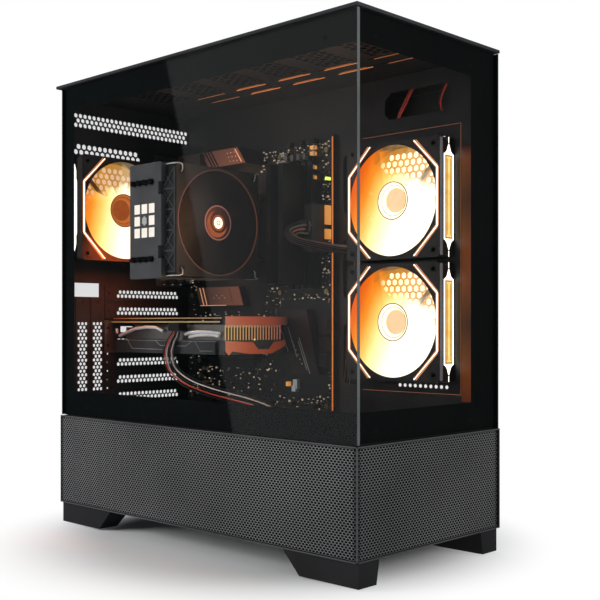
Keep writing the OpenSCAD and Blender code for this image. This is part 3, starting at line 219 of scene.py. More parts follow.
surface("plated_metal", (0.3, 0.3, 0.31), 0.32, metal=0.9, stretch=(10, 1, 1))
surface("board_laminate", (0.011, 0.0115, 0.013), 0.33, grain=420, bump=0.1, patch=70)
surface("standoff_brass", (0.6, 0.45, 0.2), 0.3, metal=1)
surface("heatsink_metal", (0.06, 0.045, 0.042), 0.4, metal=0.5, stretch=(1, 1, 18))
surface("socket_plastic", (0.012, 0.012, 0.013), 0.4, grain=1200)
surface("memory_metal", (0.016, 0.016, 0.018), 0.35, metal=0.6, stretch=(1, 1, 16))
surface("latch_plastic", (0.1, 0.1, 0.1), 0.4)
surface("card_plastic", (0.035, 0.037, 0.04), 0.4, grain=1300, bump=0.2)
surface("card_blades", (0.035, 0.036, 0.04), 0.3, grain=500, bump=0.05)
surface("psu_steel", (0.016, 0.016, 0.018), 0.5, grain=1700, bump=0.3)
surface("drive_metal", (0.3, 0.31, 0.33), 0.4, metal=0.8, grain=700)
surface("lead_sleeve", (0.02, 0.02, 0.022), 0.5)
surface("smoked_blades", (0.03, 0.02, 0.019), 0.16, grain=200, bump=0.03, alpha=0.62)
surface("wire_black", (0.02, 0.02, 0.021), 0.35, grain=500)
surface("grey_and_painted_highlight", (0.2, 0.2, 0.2), 0.35, grain=500)
surface("wire_pale", (0.8, 0.72, 0.68), 0.3, grain=500)
surface("wire_red", (0.6, 0.06, 0.04), 0.3, grain=500)
surface("silver", (0.75, 0.75, 0.73), 0.25, metal=0.35, grain=400, bump=0.04)
surface("chip_pale", (0.55, 0.55, 0.53), 0.5, grain=700)
surface("gold", (0.7, 0.5, 0.2), 0.3, metal=1)
# Painted glints: a pale gold glow as painted highlights on the board's small parts and print
glow("painted_glint", [(0.35, (0.2, 0.16, 0.11)), (0.6, (0.42, 0.35, 0.26)), (0.75, (0.7, 0.6, 0.45))],
     0.95)
surface("white_print", (0.75, 0.75, 0.75), 0.5, grain=400, spread=0.05)
surface("port_blue", (0.02, 0.09, 0.35), 0.4)
surface("port_teal", (0.02, 0.3, 0.32), 0.4)
surface("ring_green", (0.12, 0.42, 0.12), 0.4)
surface("ring_rose", (0.55, 0.15, 0.2), 0.4)
surface("rubber_ring", (0.02, 0.02, 0.02), 0.7, grain=900)
surface("border_black", (0.002, 0.0028, 0.0028), 0.5, grain=200, bump=0.01, specular=0.1)
surface("edge_glass", (0.1, 0.11, 0.11), 0.25, grain=300, bump=0.05)

glass_mat, glass_shader = new_material("tinted_glass")
glass_tint = even((0.002, 0.0028, 0.003), (0.003, 0.004, 0.0042))
link(glass_mat, ramp(glass_mat, noise(glass_mat, 6), glass_tint), glass_shader.inputs["Base Color"])
glass_shader.inputs["Roughness"].default_value = 0.015
glass_shader.inputs["Alpha"].default_value = 0.15
glass_shader.inputs["Specular IOR Level"].default_value = 0.8
M["glass"] = glass_mat


def fan_glow(name, across, left, right, window, solid=1.0, share=0.95, strength=2.3):
    """The blades' light: amber at the left, through yellow to nearly white. It thins out in the window,
    two ramps of an axis with its start and end, where the honeycomb shows between the blades."""
    stops = [(0.0, (0.5, 0.05, 0.0)), (0.1, (0.52, 0.09, 0.0)), (0.2, (0.62, 0.18, 0.008)),
             (0.32, (0.8, 0.42, 0.09)), (0.46, (0.95, 0.74, 0.34)), (0.65, (1.0, 0.95, 0.72))]
    mat = glow(name, stops, strength, across, left, right, (0.04, 0.015, 0.0))
    both = add_node(mat, "ShaderNodeMath", operation="MULTIPLY")
    for k, (axis, start, end) in enumerate(window):
        link(mat, along(mat, axis, start, end), both.inputs[k])
    cover = add_node(mat, "ShaderNodeMath", operation="MULTIPLY_ADD")
    cover.inputs[1].default_value = -share
    cover.inputs[2].default_value = solid
    link(mat, both.outputs[0], cover.inputs[0])
    link(mat, cover.outputs[0], mat.node_tree.nodes["Principled BSDF"].inputs["Alpha"])
    return mat


def fan_window(middle, side, near, far, up, low, high):
    """Where the light thins out: along side from near to far, and along up from low to high."""
    return ((side, middle + near, middle + far),
            (up, middle + Vector((0, 0, low)), middle + Vector((0, 0, high))))


BLOOM_SOLID = 0.94
BLOOM_SHARE = 0.88
fan_spans = {}
for name, (v, z) in zip(("upper", "lower"), SIDE_FANS):
    window = fan_window(at(SIDE_FAN_U, v, z), (0, -1, 0), Vector((0, 0.026, 0)), Vector((0, 0.01, 0)),
                        (0, -0.36, 1), 0.01, 0.032)
    fan_spans[name] = ((0, -0.9, -0.44), at(SIDE_FAN_U, v + 52, z + 26), at(SIDE_FAN_U, v - 52, z - 26),
                       window)
middle = at(REAR_FAN[0], REAR_FAN_V, REAR_FAN[1])
window = fan_window(middle, U_AXIS, Vector((-0.1, 0, 0)), Vector((-0.09, 0, 0)),
                    (-0.3, 0, 1), 0.018, 0.032)
fan_spans["rear"] = ((1, 0, -0.2), middle + Vector((-0.07, 0, 0)), middle + Vector((0.05, 0, 0)), window)
lit = {}
bloom = {}
for name, span in fan_spans.items():
    lit[name] = fan_glow("lit_" + name, *span)
    bloom[name] = fan_glow("bloom_" + name, *span, BLOOM_SOLID, BLOOM_SHARE)
glow("amber_film", even((1.0, 0.38, 0.04), (1.0, 0.45, 0.07)), 0.95, base=(0.05, 0.02, 0.0))
M["amber_film"].node_tree.nodes["Principled BSDF"].inputs["Alpha"].default_value = 0.62
glow("light_guide", even((1.0, 0.88, 0.72), (1.0, 0.93, 0.82)), 3.2)
glow("halo", even((1.0, 0.25, 0.06), (1.0, 0.33, 0.1)), 0.9)
glow("yellow_glow", even((1.0, 0.55, 0.08), (1.0, 0.75, 0.25)), 1.5, base=(0.03, 0.02, 0.0))
surface("fan_side", (0.3, 0.3, 0.31), 0.4, grain=1500, bump=0.15)
glow("bar_orange", even((0.7, 0.2, 0.02), (0.9, 0.3, 0.04)), 0.6)
glow("back_light", even((1.0, 0.85, 0.5), (1.0, 0.93, 0.68)), 5.0)
# Painted light: orange on edges that the fans light
glow("painted_orange_edge_light", even((1.0, 0.2, 0.03), (1.0, 0.3, 0.06)), 0.7)
glow("led_green", even((0.5, 0.9, 0.05), (0.7, 1.0, 0.1)), 2.5)
glow("hub_pale", even((1.0, 0.5, 0.27), (1.0, 0.58, 0.35)), 1.4)
glow("hub_amber", even((0.75, 0.16, 0.02), (0.9, 0.24, 0.04)), 0.8)
glow("cream_hub_glow", even((1.0, 0.88, 0.6), (1.0, 0.93, 0.7)), 2.2)
surface("hub_ring", (0.3, 0.16, 0.12), 0.4, grain=400)
glow("white_light", even((0.85, 0.87, 0.85), (0.95, 0.96, 0.94)), 1.1)
# Painted light and shade for the cooler fan's hub and rim: orange from the case fans, fading to dark
# across the case
faded("painted_rose_hub_light", [(0.0, (0.85, 0.3, 0.2)), (1.0, (0.3, 0.14, 0.12))], 0.6, U_AXIS, 71, 110,
      (0.02, 0.01, 0.01))
glow("brown_hub_glow", even((0.75, 0.14, 0.03), (0.9, 0.22, 0.05)), 0.5, base=(0.03, 0.01, 0.0))
faded("painted_dark_hub_light", [(0.0, (0.5, 0.07, 0.03)), (0.5, (0.16, 0.03, 0.02)), (1.0, (0.05, 0.012, 0.01))],
      0.32, U_AXIS, 73, 109, (0.02, 0.008, 0.006))
faded("painted_rim_light", [(0.0, (0.6, 0.2, 0.17)), (0.45, (0.25, 0.08, 0.06)), (1.0, (0.5, 0.14, 0.07))],
      0.4, U_AXIS, 33, 149, (0.03, 0.02, 0.02))
surface("track", (0.035, 0.036, 0.038), 0.35, grain=500)
# Painted fan light on board parts, heat spreaders and the graphics card, fading to shade away from the
# fans
glow("painted_orange_part_light", even((0.9, 0.3, 0.04), (1.0, 0.42, 0.08)), 0.75)
faded("painted_sink_light", [(0.0, (0.42, 0.1, 0.04)), (0.5, (0.25, 0.08, 0.05)), (1.0, (0.06, 0.035, 0.03))],
      0.42, V_AXIS, 300, 400, (0.03, 0.024, 0.022), 0.35)
glow("painted_stripe_highlight", even((1.0, 0.4, 0.2), (1.0, 0.5, 0.28)), 0.7)
faded("painted_card_band_light", [(0.0, (0.85, 0.24, 0.14)), (0.3, (0.75, 0.13, 0.04)), (0.75, (0.45, 0.07, 0.03)),
                    (1.0, (0.04, 0.02, 0.02))], 0.55, U_AXIS, 66, 161, (0.02, 0.01, 0.008))
faded("painted_card_low_light", [(0.0, (0.85, 0.22, 0.11)), (0.4, (0.6, 0.09, 0.02)), (1.0, (0.2, 0.03, 0.01))],
      0.62, U_AXIS, 66, 157, (0.02, 0.01, 0.008))
faded("painted_card_fin_light", [(0.0, (1.0, 0.62, 0.2)), (0.45, (0.85, 0.42, 0.16)), (1.0, (0.5, 0.14, 0.1))],
      0.62, U_AXIS, 70, 152, (0.03, 0.02, 0.01))
faded("painted_card_pcb_light", [(0.0, (0.32, 0.24, 0.12)), (0.5, (0.3, 0.26, 0.06)), (1.0, (0.2, 0.2, 0.05))],
      0.5, V_AXIS, 240, 440)
faded("painted_card_strip_light", [(0.0, (0.14, 0.05, 0.03)), (1.0, (0.02, 0.018, 0.016))], 0.6, V_AXIS, 240, 400)
surface("wire_copper", (0.65, 0.2, 0.08), 0.35, grain=500)
# Painted light: dim orange on edges, and bands of orange light and shade up the wall
glow("painted_dim_edge_light", even((0.4, 0.06, 0.02), (0.55, 0.1, 0.03)), 0.5)
faded("painted_wall_light_strips", [(0.0, (0.5, 0.1, 0.02)), (0.12, (0.9, 0.22, 0.03)), (0.3, (0.22, 0.04, 0.01)),
                     (0.47, (0.85, 0.2, 0.03)), (0.6, (0.9, 0.22, 0.03)), (0.78, (0.2, 0.04, 0.01)),
                     (0.95, (0.75, 0.16, 0.03)), (1.0, (0.03, 0.01, 0.01))],
      0.17, Z_AXIS, 150, 404, (0.01, 0.006, 0.005))
smoke_mat, smoke_shader = new_material("smoke")
smoke_tint = even((0.012, 0.009, 0.009), (0.03, 0.021, 0.02))
link(smoke_mat, ramp(smoke_mat, noise(smoke_mat, 14), smoke_tint), smoke_shader.inputs["Base Color"])
smoke_shader.inputs["Roughness"].default_value = 0.22
smoke_shader.inputs["Alpha"].default_value = 0.78
SIXTHS = [math.radians(60 * k + 30) for k in range(6)]

for node, obj in frame["nodes"].items():
    kind = next((s["material_slot"] for s in frame["record"]["subparts"] if s["node"] == node), None)
    mat = M.get(kind)
    if mat is None:
        continue
    for held in obj.material_slots:
        held.material = mat
ROTOR_LIGHT = {"side_fan_rotor_upper": "upper", "side_fan_rotor_lower": "lower", "rear_fan_rotor": "rear"}
for node, name in ROTOR_LIGHT.items():
    for held in frame["nodes"][node].material_slots:
        held.material = lit[name]
# The mesh nodes' plates get the painted shade seen through the holes
for node in ("left_mesh", "front_mesh"):
    for held in frame["nodes"][node].material_slots:
        held.material = M["painted_hole_shade"]


# ---- pieces ------------------------------------------------------------------------------------
class Shape:
    """Collects faces in case measures, then makes one object that rides on a body."""

    def __init__(self, name):
        self.name = name
        self.verts = []
        self.faces = []
        self.kinds = []

    def add(self, verts, faces, kind=0):
        first = len(self.verts)
        self.verts += verts
        self.faces += [tuple(first + i for i in face) for face in faces]
        self.kinds += [kind] * len(faces)

    def box(self, lo, hi, kind=0):
        corners = [(x, y, z) for x in (lo[0], hi[0]) for y in (lo[1], hi[1]) for z in (lo[2], hi[2])]
        sides = [(0, 1, 3, 2), (4, 6, 7, 5), (0, 4, 5, 1), (2, 3, 7, 6), (0, 2, 6, 4), (1, 5, 7, 3)]
        self.add(corners, sides, kind)

    def prism(self, low, high, kind=0):
        """Joins two outlines with the same number of points."""
        n = len(low)
        sides = [(i, (i + 1) % n, n + (i + 1) % n, n + i) for i in range(n)]
        self.add(list(low) + list(high), sides + [tuple(range(n))[::-1], tuple(range(n, 2 * n))], kind)

    def ring(self, place, r0, r1, d0, d1, kind=0, sides=64):
        """A flat ring or short tube; place turns (x, y, depth) into a point."""
        verts = []
        for i in range(sides):
            a = 2 * math.pi * i / sides
            for r, d in ((r0, d0), (r1, d0), (r1, d1), (r0, d1)):
                verts.append(place(r * math.cos(a), r * math.sin(a), d))
        faces = []
        for i in range(sides):
            j = (i + 1) % sides
            for k in range(4):
                faces.append((4 * i + k, 4 * i + (k + 1) % 4, 4 * j + (k + 1) % 4, 4 * j + k))
        self.add(verts, faces, kind)

    def sheet(self, place, r0, r1, depth, kind=0, sides=96):
        """A flat ring of one face's thickness."""
        verts = []
        for i in range(sides):
            a = 2 * math.pi * i / sides
            verts += [place(r * math.cos(a), r * math.sin(a), depth) for r in (r0, r1)]
        self.add(verts, [(2 * i, 2 * i + 1, (2 * i + 3) % (2 * sides), (2 * i + 2) % (2 * sides))
                         for i in range(sides)], kind)

    def disc(self, place, r, d0, d1, kind=0, sides=48):
        turns = [2 * math.pi * i / sides for i in range(sides)]
        low, high = [[place(r * math.cos(a), r * math.sin(a), d) for a in turns] for d in (d0, d1)]
        self.prism(low, high, kind)

    def tube(self, path, radius, kind=0, sides=8):
        points = [Vector(p) for p in path]
        verts = []
        side = None
        for i, p in enumerate(points):
            ahead = (points[min(i + 1, len(points) - 1)] - points[max(i - 1, 0)]).normalized()
            if side is None:
                side = ahead.orthogonal().normalized()
            side = (side - ahead * side.dot(ahead)).normalized()
            other = ahead.cross(side)
            for k in range(sides):
                a = 2 * math.pi * k / sides
                verts.append(tuple(p + radius * (math.cos(a) * side + math.sin(a) * other)))
        faces = []
        for i in range(len(points) - 1):
            for k in range(sides):
                n = (k + 1) % sides
                faces.append((i * sides + k, i * sides + n, (i + 1) * sides + n, (i + 1) * sides + k))
        last = (len(points) - 1) * sides
        faces.append(tuple(range(sides))[::-1])
        faces.append(tuple(range(last, last + sides)))
        self.add(verts, faces, kind)

    def make(self, mats, body, slot, bevel=0.0, smooth=False):
        mesh = bpy.data.meshes.new(self.name)
        mesh.from_pydata([tuple(at(*p)) for p in self.verts], [], self.faces)
        for mat in mats:
            mesh.materials.append(mat)
        mesh.polygons.foreach_set("material_index", self.kinds)
        if smooth:
            mesh.polygons.foreach_set("use_smooth", [True] * len(self.faces))
        mesh.update()
        obj = bpy.data.objects.new(self.name, mesh)
        bpy.context.collection.objects.link(obj)
        if bevel:
            edge = obj.modifiers.new("edge", "BEVEL")
            edge.width = bevel / 1000
            edge.segments = 2
            edge.limit_method = "ANGLE"
        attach(obj, body)
        return obj


MESH_PITCH = 4.2
MESH_SQUASH = 0.62
MESH_HOLE = 0.82
MESH_MARGIN = 2
MESH_EDGE = 1.2
SKIN = PROUD + 0.06
EDGE_LIFT = 0.005


def mesh_band(name, body, node, length, place):
    """The perforated skin: a sheet of flattened hexagonal holes over a mesh node's plate, which is painted
    near black as the shade seen through the holes.
    """
    z0, z1 = [1000 * corner[2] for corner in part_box(node)]
    tall = MESH_PITCH / math.sqrt(3) * MESH_SQUASH
    half = MESH_PITCH / 2
    corner = [(0.0, tall), (half, tall / 2), (half, -tall / 2), (0.0, -tall), (-half, -tall / 2),
              (-half, tall / 2)]
    shape = Shape(name)
    rows = int((z1 - z0 - 2 * MESH_MARGIN) / (1.5 * tall))
    columns = int((length[1] - length[0] - 2 * MESH_MARGIN) / MESH_PITCH)
    for row in range(rows):
        z = z0 + MESH_MARGIN + tall + row * 1.5 * tall
        for column in range(columns - row % 2):
            w = length[0] + MESH_MARGIN + half + (column + (row % 2) / 2) * MESH_PITCH
            outer = [place(w + dx, z + dz) for dx, dz in corner]
            inner = [place(w + MESH_HOLE * dx, z + MESH_HOLE * dz) for dx, dz in corner]
            shape.add(outer + inner, [(i, (i + 1) % 6, 6 + (i + 1) % 6, 6 + i) for i in range(6)])
    # Plain edge all round
    a, b = length
    for low, high in (((a, z0), (b, z0 + MESH_EDGE)), ((a, z1 - MESH_EDGE), (b, z1)),
                      ((a, z0), (a + MESH_EDGE, z1)), ((b - MESH_EDGE, z0), (b, z1))):
        outline = ((low[0], low[1]), (high[0], low[1]), (high[0], high[1]), (low[0], high[1]))
        shape.add([place(w, z, EDGE_LIFT) for w, z in outline], [(0, 1, 2, 3)], 1)
    return shape.make([M["mesh_steel"], M["mesh_edge"]], body, "mesh_steel")


mesh_band("left_mesh_holes", "left_skirt", "left_mesh", (-PROUD, CASE_D),
          lambda w, z, lift=0.0: (-SKIN - lift, w, z))
mesh_band("front_mesh_holes", "front_skirt", "front_mesh", (-PROUD, CASE_W + PROUD),
          lambda w, z, lift=0.0: (w, -SKIN - lift, z))

# Printed border behind each pane, a dark strip in its far end, and the ground edge of the left pane
BEHIND = (GLASS_T + 0.03, GLASS_T + 0.15)
END_Z = (GLASS_Z[0] + 0.4, GLASS_Z[1] - 0.4)


def border_strips(near, side, far):
    """Top, bottom and far strip of a pane's border, as corners along the pane and up."""
    return (((near, VIEW_Z[1]), (far, GLASS_Z[1] - 0.1)), ((near, GLASS_Z[0] + 0.1), (far, VIEW_Z[0])),
            ((side, VIEW_Z[0]), (far, VIEW_Z[1])))


border = Shape("left_border")
for lo, hi in border_strips(4.5, 426, CASE_D - 0.1):
    border.box((BEHIND[0], *lo), (BEHIND[1], *hi))
border.box((0.3, CASE_D - 0.4, END_Z[0]), (BEHIND[0], CASE_D - 0.1, END_Z[1]))
border.make([M["border_black"]], "left_window", "glass")
border = Shape("front_border")
for lo, hi in border_strips(4.7, 174.6, CASE_W - 0.1):
    border.box((lo[0], BEHIND[0], lo[1]), (hi[0], BEHIND[1], hi[1]))
border.box((CASE_W - 0.4, 0.3, END_Z[0]), (CASE_W - 0.1, BEHIND[0], END_Z[1]))
border.make([M["border_black"]], "front_window", "glass")
edge = Shape("left_glass_edge")
edge.box((0.35, -0.06, END_Z[0]), (GLASS_T - 0.3, 0.05, END_Z[1]))
edge.make([M["edge_glass"]], "left_window", "glass")


# Lit fans
def side_place(k):
    """Turns a side fan's own x, y and depth into case measures, as the two below do for theirs."""
    v, z = SIDE_FANS[k]
    return lambda x, y, d: (SIDE_FAN_U + d, v + x, z + y)


def rear_place(x, y, d):
    return (REAR_FAN[0] + x, REAR_FAN_V + d, REAR_FAN[1] + y)


def cooler_place(x, y, d):
    return (COOLER_FAN[0] + x, COOLER_FAN_V + d, COOLER_FAN[1] + y)


HALO_OFFSET = 1.35
HALO_HALF = 0.55


def light_halo(shape, place, kind):
    """A thin orange line on both sides of the frame's light guide."""
    half = FAN / 2 - 2.8
    inner = half - 28.2
    for side in (-1, 1):
        path = [(inner + 1, half), (half, inner), (half, -inner), (inner + 1, -half)]
        for offset in (-HALO_OFFSET, HALO_OFFSET):
            for p0, p1 in zip(path, path[1:]):
                run = Vector((p1[0] - p0[0], p1[1] - p0[1])).normalized()
                corners = []
                for (x, y), turn in ((p0, -HALO_HALF), (p1, -HALO_HALF), (p1, HALO_HALF), (p0, HALO_HALF)):
                    corners.append((side * (x - run.y * (offset + turn)), y + run.x * (offset + turn)))
                shape.add([place(x, y, -0.05) for x, y in corners], [(0, 1, 2, 3)], kind)


def lit_fan(name, place, body, bloom_mat, near_rim, hub_mats):
    """Glow round the bore, halo, screw rings, the bloom over the blades and the hub's face."""
    shape = Shape(name + "_glow")
    rim_stops = [(0.0, (1.0, 0.2, 0.02)), (0.45, (1.0, 0.42, 0.05)), (1.0, (1.0, 0.62, 0.2))]
    rim_mat = glow(name + "_rim", rim_stops, 1.5, *near_rim)
    shape.ring(place, FAN_BORE / 2 - 0.5, FAN_BORE / 2 - 0.2, 0.4, 20.5, 0, 96)
    light_halo(shape, place, 1)
    for x in (-FAN_SCREW, FAN_SCREW):
        for y in (-FAN_SCREW, FAN_SCREW):
            shape.ring(lambda a, b, d: place(x + a, y + b, d), 2.4, 3.8, -0.3, 0.2, 2, 24)
    shape.make([rim_mat, M["halo"], M["rubber_ring"]], "chassis", "light_guide")
    veil = Shape(name + "_bloom")
    veil.sheet(place, 20.4, FAN_BORE / 2 - 0.6, 1.1, 0)
    veil.sheet(place, 16, FAN_BORE / 2 - 0.6, 21.3, 1)
    veil.make([bloom_mat, M["amber_film"]], "chassis", "light_guide")
    hub = Shape(name + "_hub")
    hub.ring(place, HUB_R, HUB_R + 1, 1.5, 2.6, 1, 64)
    hub.disc(place, HUB_R, 1.8, 2.2, 0, 64)
    hub.ring(lambda a, b, d: place(a - 1.5, b, d), 15.4, 16, 1.6, 1.85, 1, 48)
    hub.disc(lambda a, b, d: place(a - 4.5, b, d), 12, 1.5, 1.9, 2, 48)
    hub.ring(lambda a, b, d: place(a - 4.5, b, d), 12, 12.6, 1.4, 1.9, 3, 48)
    hub.make(hub_mats, body, "lit_blades")


SIDE_HUB = [M["cream_hub_glow"], M["hub_ring"], M["hub_pale"], M["yellow_glow"]]
REAR_HUB = [M["hub_amber"], M["hub_ring"], M["brown_hub_glow"], M["bar_orange"]]
for k, name in enumerate(("upper", "lower")):
    v, z = SIDE_FANS[k]
    lit_fan(name + "_side_fan", side_place(k), name + "_side_fan", bloom[name],
            (U_AXIS, at(SIDE_FAN_U, v, z), at(SIDE_FAN_U + 22, v, z)), SIDE_HUB)
lit_fan("rear_case_fan", rear_place, "rear_fan", bloom["rear"],
        (V_AXIS, at(*rear_place(0, 0, 0)), at(*rear_place(0, 0, 22))), REAR_HUB)

# Side bars of the side fans, on the face towards the front
bars = Shape("side_fan_bars")


def bar_plate(v, z, points, kind, lift):
    """A thin plate on a side fan's front face, from its outline about the bar's middle."""
    middle = SIDE_FAN_U + 15.5
    face = v - FAN / 2
    bars.prism([(middle + x, face, z + y) for x, y in points],
               [(middle + x, face - lift, z + y) for x, y in points], kind)


def upright(x, wide, tall):
    return [(x - wide / 2, -tall), (x + wide / 2, -tall), (x + wide / 2, tall), (x - wide / 2, tall)]


for v, z in SIDE_FANS:
    bar_plate(v, z, upright(0, 12.4, 42), 1, 0.05)
    bar_plate(v, z, upright(0.4, 8.6, 40), 0, 0.08)
    for x in (-2.6, 3.0):
        bar_plate(v, z, upright(x, 1.0, 38), 1, 0.12)
    for x in (-7.2, 7.2):
        bar_plate(v, z, upright(x, 1.8, 42.6), 2, 0.1)
    for sign in (-1, 1):
        bar_plate(v, z, [(-8.1, sign * 41.5), (8.1, sign * 41.5), (3.4, sign * 45.5), (0.5, sign * 52.5),
                         (-0.5, sign * 52.5), (-3.4, sign * 45.5)], 2, 0.1)
        bar_plate(v, z, [(-0.5, sign * 53.5), (0.5, sign * 53.5), (0.5, sign * 59.4), (-0.5, sign * 59.4)],
                  2, 0.1)
    bars.box((SIDE_FAN_U + 0.8, v - FAN / 2 - 0.1, z - 58), (SIDE_FAN_U + 5.4, v - FAN / 2, z + 58), 3)
bars.make([M["yellow_glow"], M["bar_orange"], M["light_guide"], M["fan_side"]], "chassis", "light_guide")

# Light behind the wall's honeycomb
sheet = Shape("wall_back_light")
for k in (0, 1):
    sheet.disc(side_place(k), 57, 27.2, 27.6, 0, 48)
sheet.make([M["back_light"]], "chassis", "light_guide")

# Painted orange light along the front edge of the board
line = Shape("board_edge_light")
line.box((BOARD_U - 0.2, BOARD_V[0] - 0.5, BOARD_Z[0] + 2),
         (BOARD_U + 1.7, BOARD_V[0] - 0.1, BOARD_Z[1] - 2))
line.make([M["painted_orange_edge_light"]], "chassis", "board_laminate")


# Cooler: white squares on the cap, lattice on the fan's side, clip wires, smoky disc, and a hub and rim
# painted with orange light and a pale painted highlight
CAP_U = (23.55, 23.85)
squares = Shape("cap_squares")
for row in range(3):
    for column in range(3):
        v = 309.8 + 12.6 * column
        z = 325.5 + 12.9 * row
        if row == 1 and column == 1:
            hexagon = [(v + 4.6 * math.cos(a), z + 5.4 * math.sin(a)) for a in SIXTHS]
            squares.prism([(CAP_U[1], *p) for p in hexagon], [(CAP_U[0], *p) for p in hexagon], 1)
        else:
            squares.box((CAP_U[0], v - 4.7, z - 5.1), (CAP_U[1], v + 4.7, z + 5.1))
squares.make([M["white_light"], M["chip_pale"]], "chassis", "cap_metal", bevel=0.15)
lattice = Shape("fan_side_lattice")
for k in range(5):
    z = 284 + 22 * k
    for a, b in (((280, z), (299, z + 20)), ((299, z), (280, z + 20))):
        lattice.tube([(30.4, a[0], a[1]), (30.4, b[0], b[1])], 0.9, 0, 6)
    lattice.box((29.9, 279, z - 1.6), (30.9, 300, z - 0.2))
for v in (278.5, 299):
    lattice.box((29.9, v, 282), (30.9, v + 1.6, 393))
lattice.make([M["cap_metal"]], "chassis", "fan_plastic")
wires = Shape("fan_clips")
for u, side in ((38, -1), (144, 1)):
    for z, up in ((392, 1), (284, -1)):
        wires.tube([(u, 279, z - up * 5), (u, 275.6, z - up * 1), (u, 275.4, z + up * 4),
                    (u + side * 4, 275.8, z + up * 5.5), (u + side * 7.5, 278, z + up * 5.5),
                    (u + side * 8, 300, z + up * 5.5)], 0.8, 0, 8)
wires.make([M["silver"]], "chassis", "screw_steel", smooth=True)
rings = Shape("cooler_fan_rings")
for x in (-FAN_SCREW, FAN_SCREW):
    for y in (-FAN_SCREW, FAN_SCREW):
        rings.ring(lambda a, b, d: cooler_place(x + a, y + b, d), 2.4, 4.2, -0.4, 0.2, 0, 24)
# A rim of painted orange light round the cooler fan's bore
rings.ring(cooler_place, 57.3, 58.1, -0.25, 0.1, 1, 96)
rings.make([M["rubber_ring"], M["painted_rim_light"]], "chassis", "fan_plastic")
smoke = Shape("cooler_fan_smoke")
smoke.ring(cooler_place, 19, 56.5, 1.6, 1.8, 0, 96)
smoke.make([M["smoke"]], "cooler_fan", "smoked_blades")
# The cooler fan's hub: painted orange light fading to shade across it, and a pale painted highlight in the
# middle
hub = Shape("cooler_fan_hub")
hub.ring(cooler_place, 17.9, 19.3, 1.4, 3.5, 0, 64)
hub.disc(cooler_place, 17.8, 1.6, 1.9, 1, 64)
hub.disc(lambda a, b, d: cooler_place(a - 1.5, b - 1.5, d), 14.5, 1.45, 1.6, 2, 48)
hub.disc(lambda a, b, d: cooler_place(a + 1, b + 1.5, d), 12.5, 1.3, 1.45, 1, 48)
hub.ring(cooler_place, 6.4, 8.8, 1.0, 1.3, 2, 32)
hub.disc(cooler_place, 6.2, 0.95, 1.3, 3, 32)
hub.ring(cooler_place, 1.7, 2.6, 0.8, 0.95, 2, 24)
hub.make([M["painted_rose_hub_light"], M["painted_dark_hub_light"], M["brown_hub_glow"], M["cream_hub_glow"]], "cooler_fan", "smoked_blades")

# Main board: small parts in loose rows, kept clear of the sockets, sinks and the cooler
# Each row is v from, v to, z from, z to
KEEP_CLEAR = (
    (203, 252, 262, 416), (272, 384, 270, 404), (196, 206, 304, 360), (293, 412, 244, 276),
    (196, 262, 148, 252), (296, 378, 408, 436), (296, 400, 215, 232), (362, 400, 255, 264),
    (368, 412, 314, 436), (296, 400, 176, 190), (362, 400, 130, 150), (186, 201, 178, 250),
)


def is_clear(v, z, reach):
    return all(v + reach < v0 or v - reach > v1 or z + reach < z0 or z - reach > z1
               for v0, v1, z0, z1 in KEEP_CLEAR)


dice = random.Random(11)
parts = Shape("board_parts")
PART_KINDS = (0, 0, 0, 1, 1, 2, 3, 3, 4)
for row in range(66):
    for column in range(54):
        v = BOARD_V[0] + 4 + column * 4.4 + dice.uniform(-1.6, 1.6)
        z = BOARD_Z[0] + 4 + row * 4.5 + dice.uniform(-1.6, 1.6)
        long_v = dice.uniform(0.35, 1.2)
        long_z = dice.uniform(0.3, 1.1)
        tall = dice.uniform(0.5, 1.6)
        kind = dice.choice(PART_KINDS)
        thin = 0.3 if v < 262 or z > 262 else 0.62
        if dice.random() < thin or not is_clear(v, z, 1.2):
            continue
        parts.box((BOARD_U - tall, v - long_v, z - long_z), (BOARD_U, v + long_v, z + long_z), kind)
        if kind in (0, 2):
            parts.box((BOARD_U - tall * 0.7, v - long_v - 0.5, z - long_z * 0.7),
                      (BOARD_U - 0.02, v + long_v + 0.5, z + long_z * 0.7), 4)
# Part kinds 1 and 3 glow with the painted glint
parts.make([M["socket_plastic"], M["painted_glint"], M["chip_pale"], M["painted_glint"], M["gold"]],
           "chassis", "socket_plastic")
print_lines = Shape("board_print")
for k in range(130):
    v = dice.uniform(190, 428)
    z = dice.uniform(133, 430)
    if not is_clear(v, z, 4):
        continue
    run = dice.uniform(3, 9)
    if dice.random() < 0.5:
        print_lines.box((BOARD_U - 0.06, v, z), (BOARD_U - 0.01, v + run, z + 0.25))
    else:
        print_lines.box((BOARD_U - 0.06, v, z), (BOARD_U - 0.01, v + 0.25, z + run))
# The print lines glow with the painted glint
print_lines.make([M["painted_glint"]], "chassis", "board_laminate")
tracks = Shape("board_tracks")
for k in range(26):
    v = 262 + k * 1.5
    bend = 232 - k * 1.1
    for a, b in (((v, 176), (v, bend)), ((v, bend), (v - 14, bend + 14))):
        tracks.tube([(BOARD_U - 0.02, a[0], a[1]), (BOARD_U - 0.02, b[0], b[1])], 0.16, 0, 4)
for k in range(18):
    z = 290 + k * 1.5
    tracks.tube([(BOARD_U - 0.02, 252, z), (BOARD_U - 0.02, 270, z)], 0.16, 0, 4)
tracks.make([M["track"]], "chassis", "board_laminate")
cans = Shape("board_capacitors")
can_rows = [(402 - 8 * (k % 2), 146 + 9 * k, 2.7, 7, 1) for k in range(5)]
can_rows += [(390 - 9 * k, 302, 3.1, 8, 0) for k in range(3)]
can_rows += [(258, 420 - 9 * k, 2.6, 6, 0) for k in range(3)]
can_rows += [(264, 412 - 9 * k, 2.6, 6, 0) for k in range(2)]


def can_place(a, b, d):
    return (BOARD_U - d, v + a, z + b)


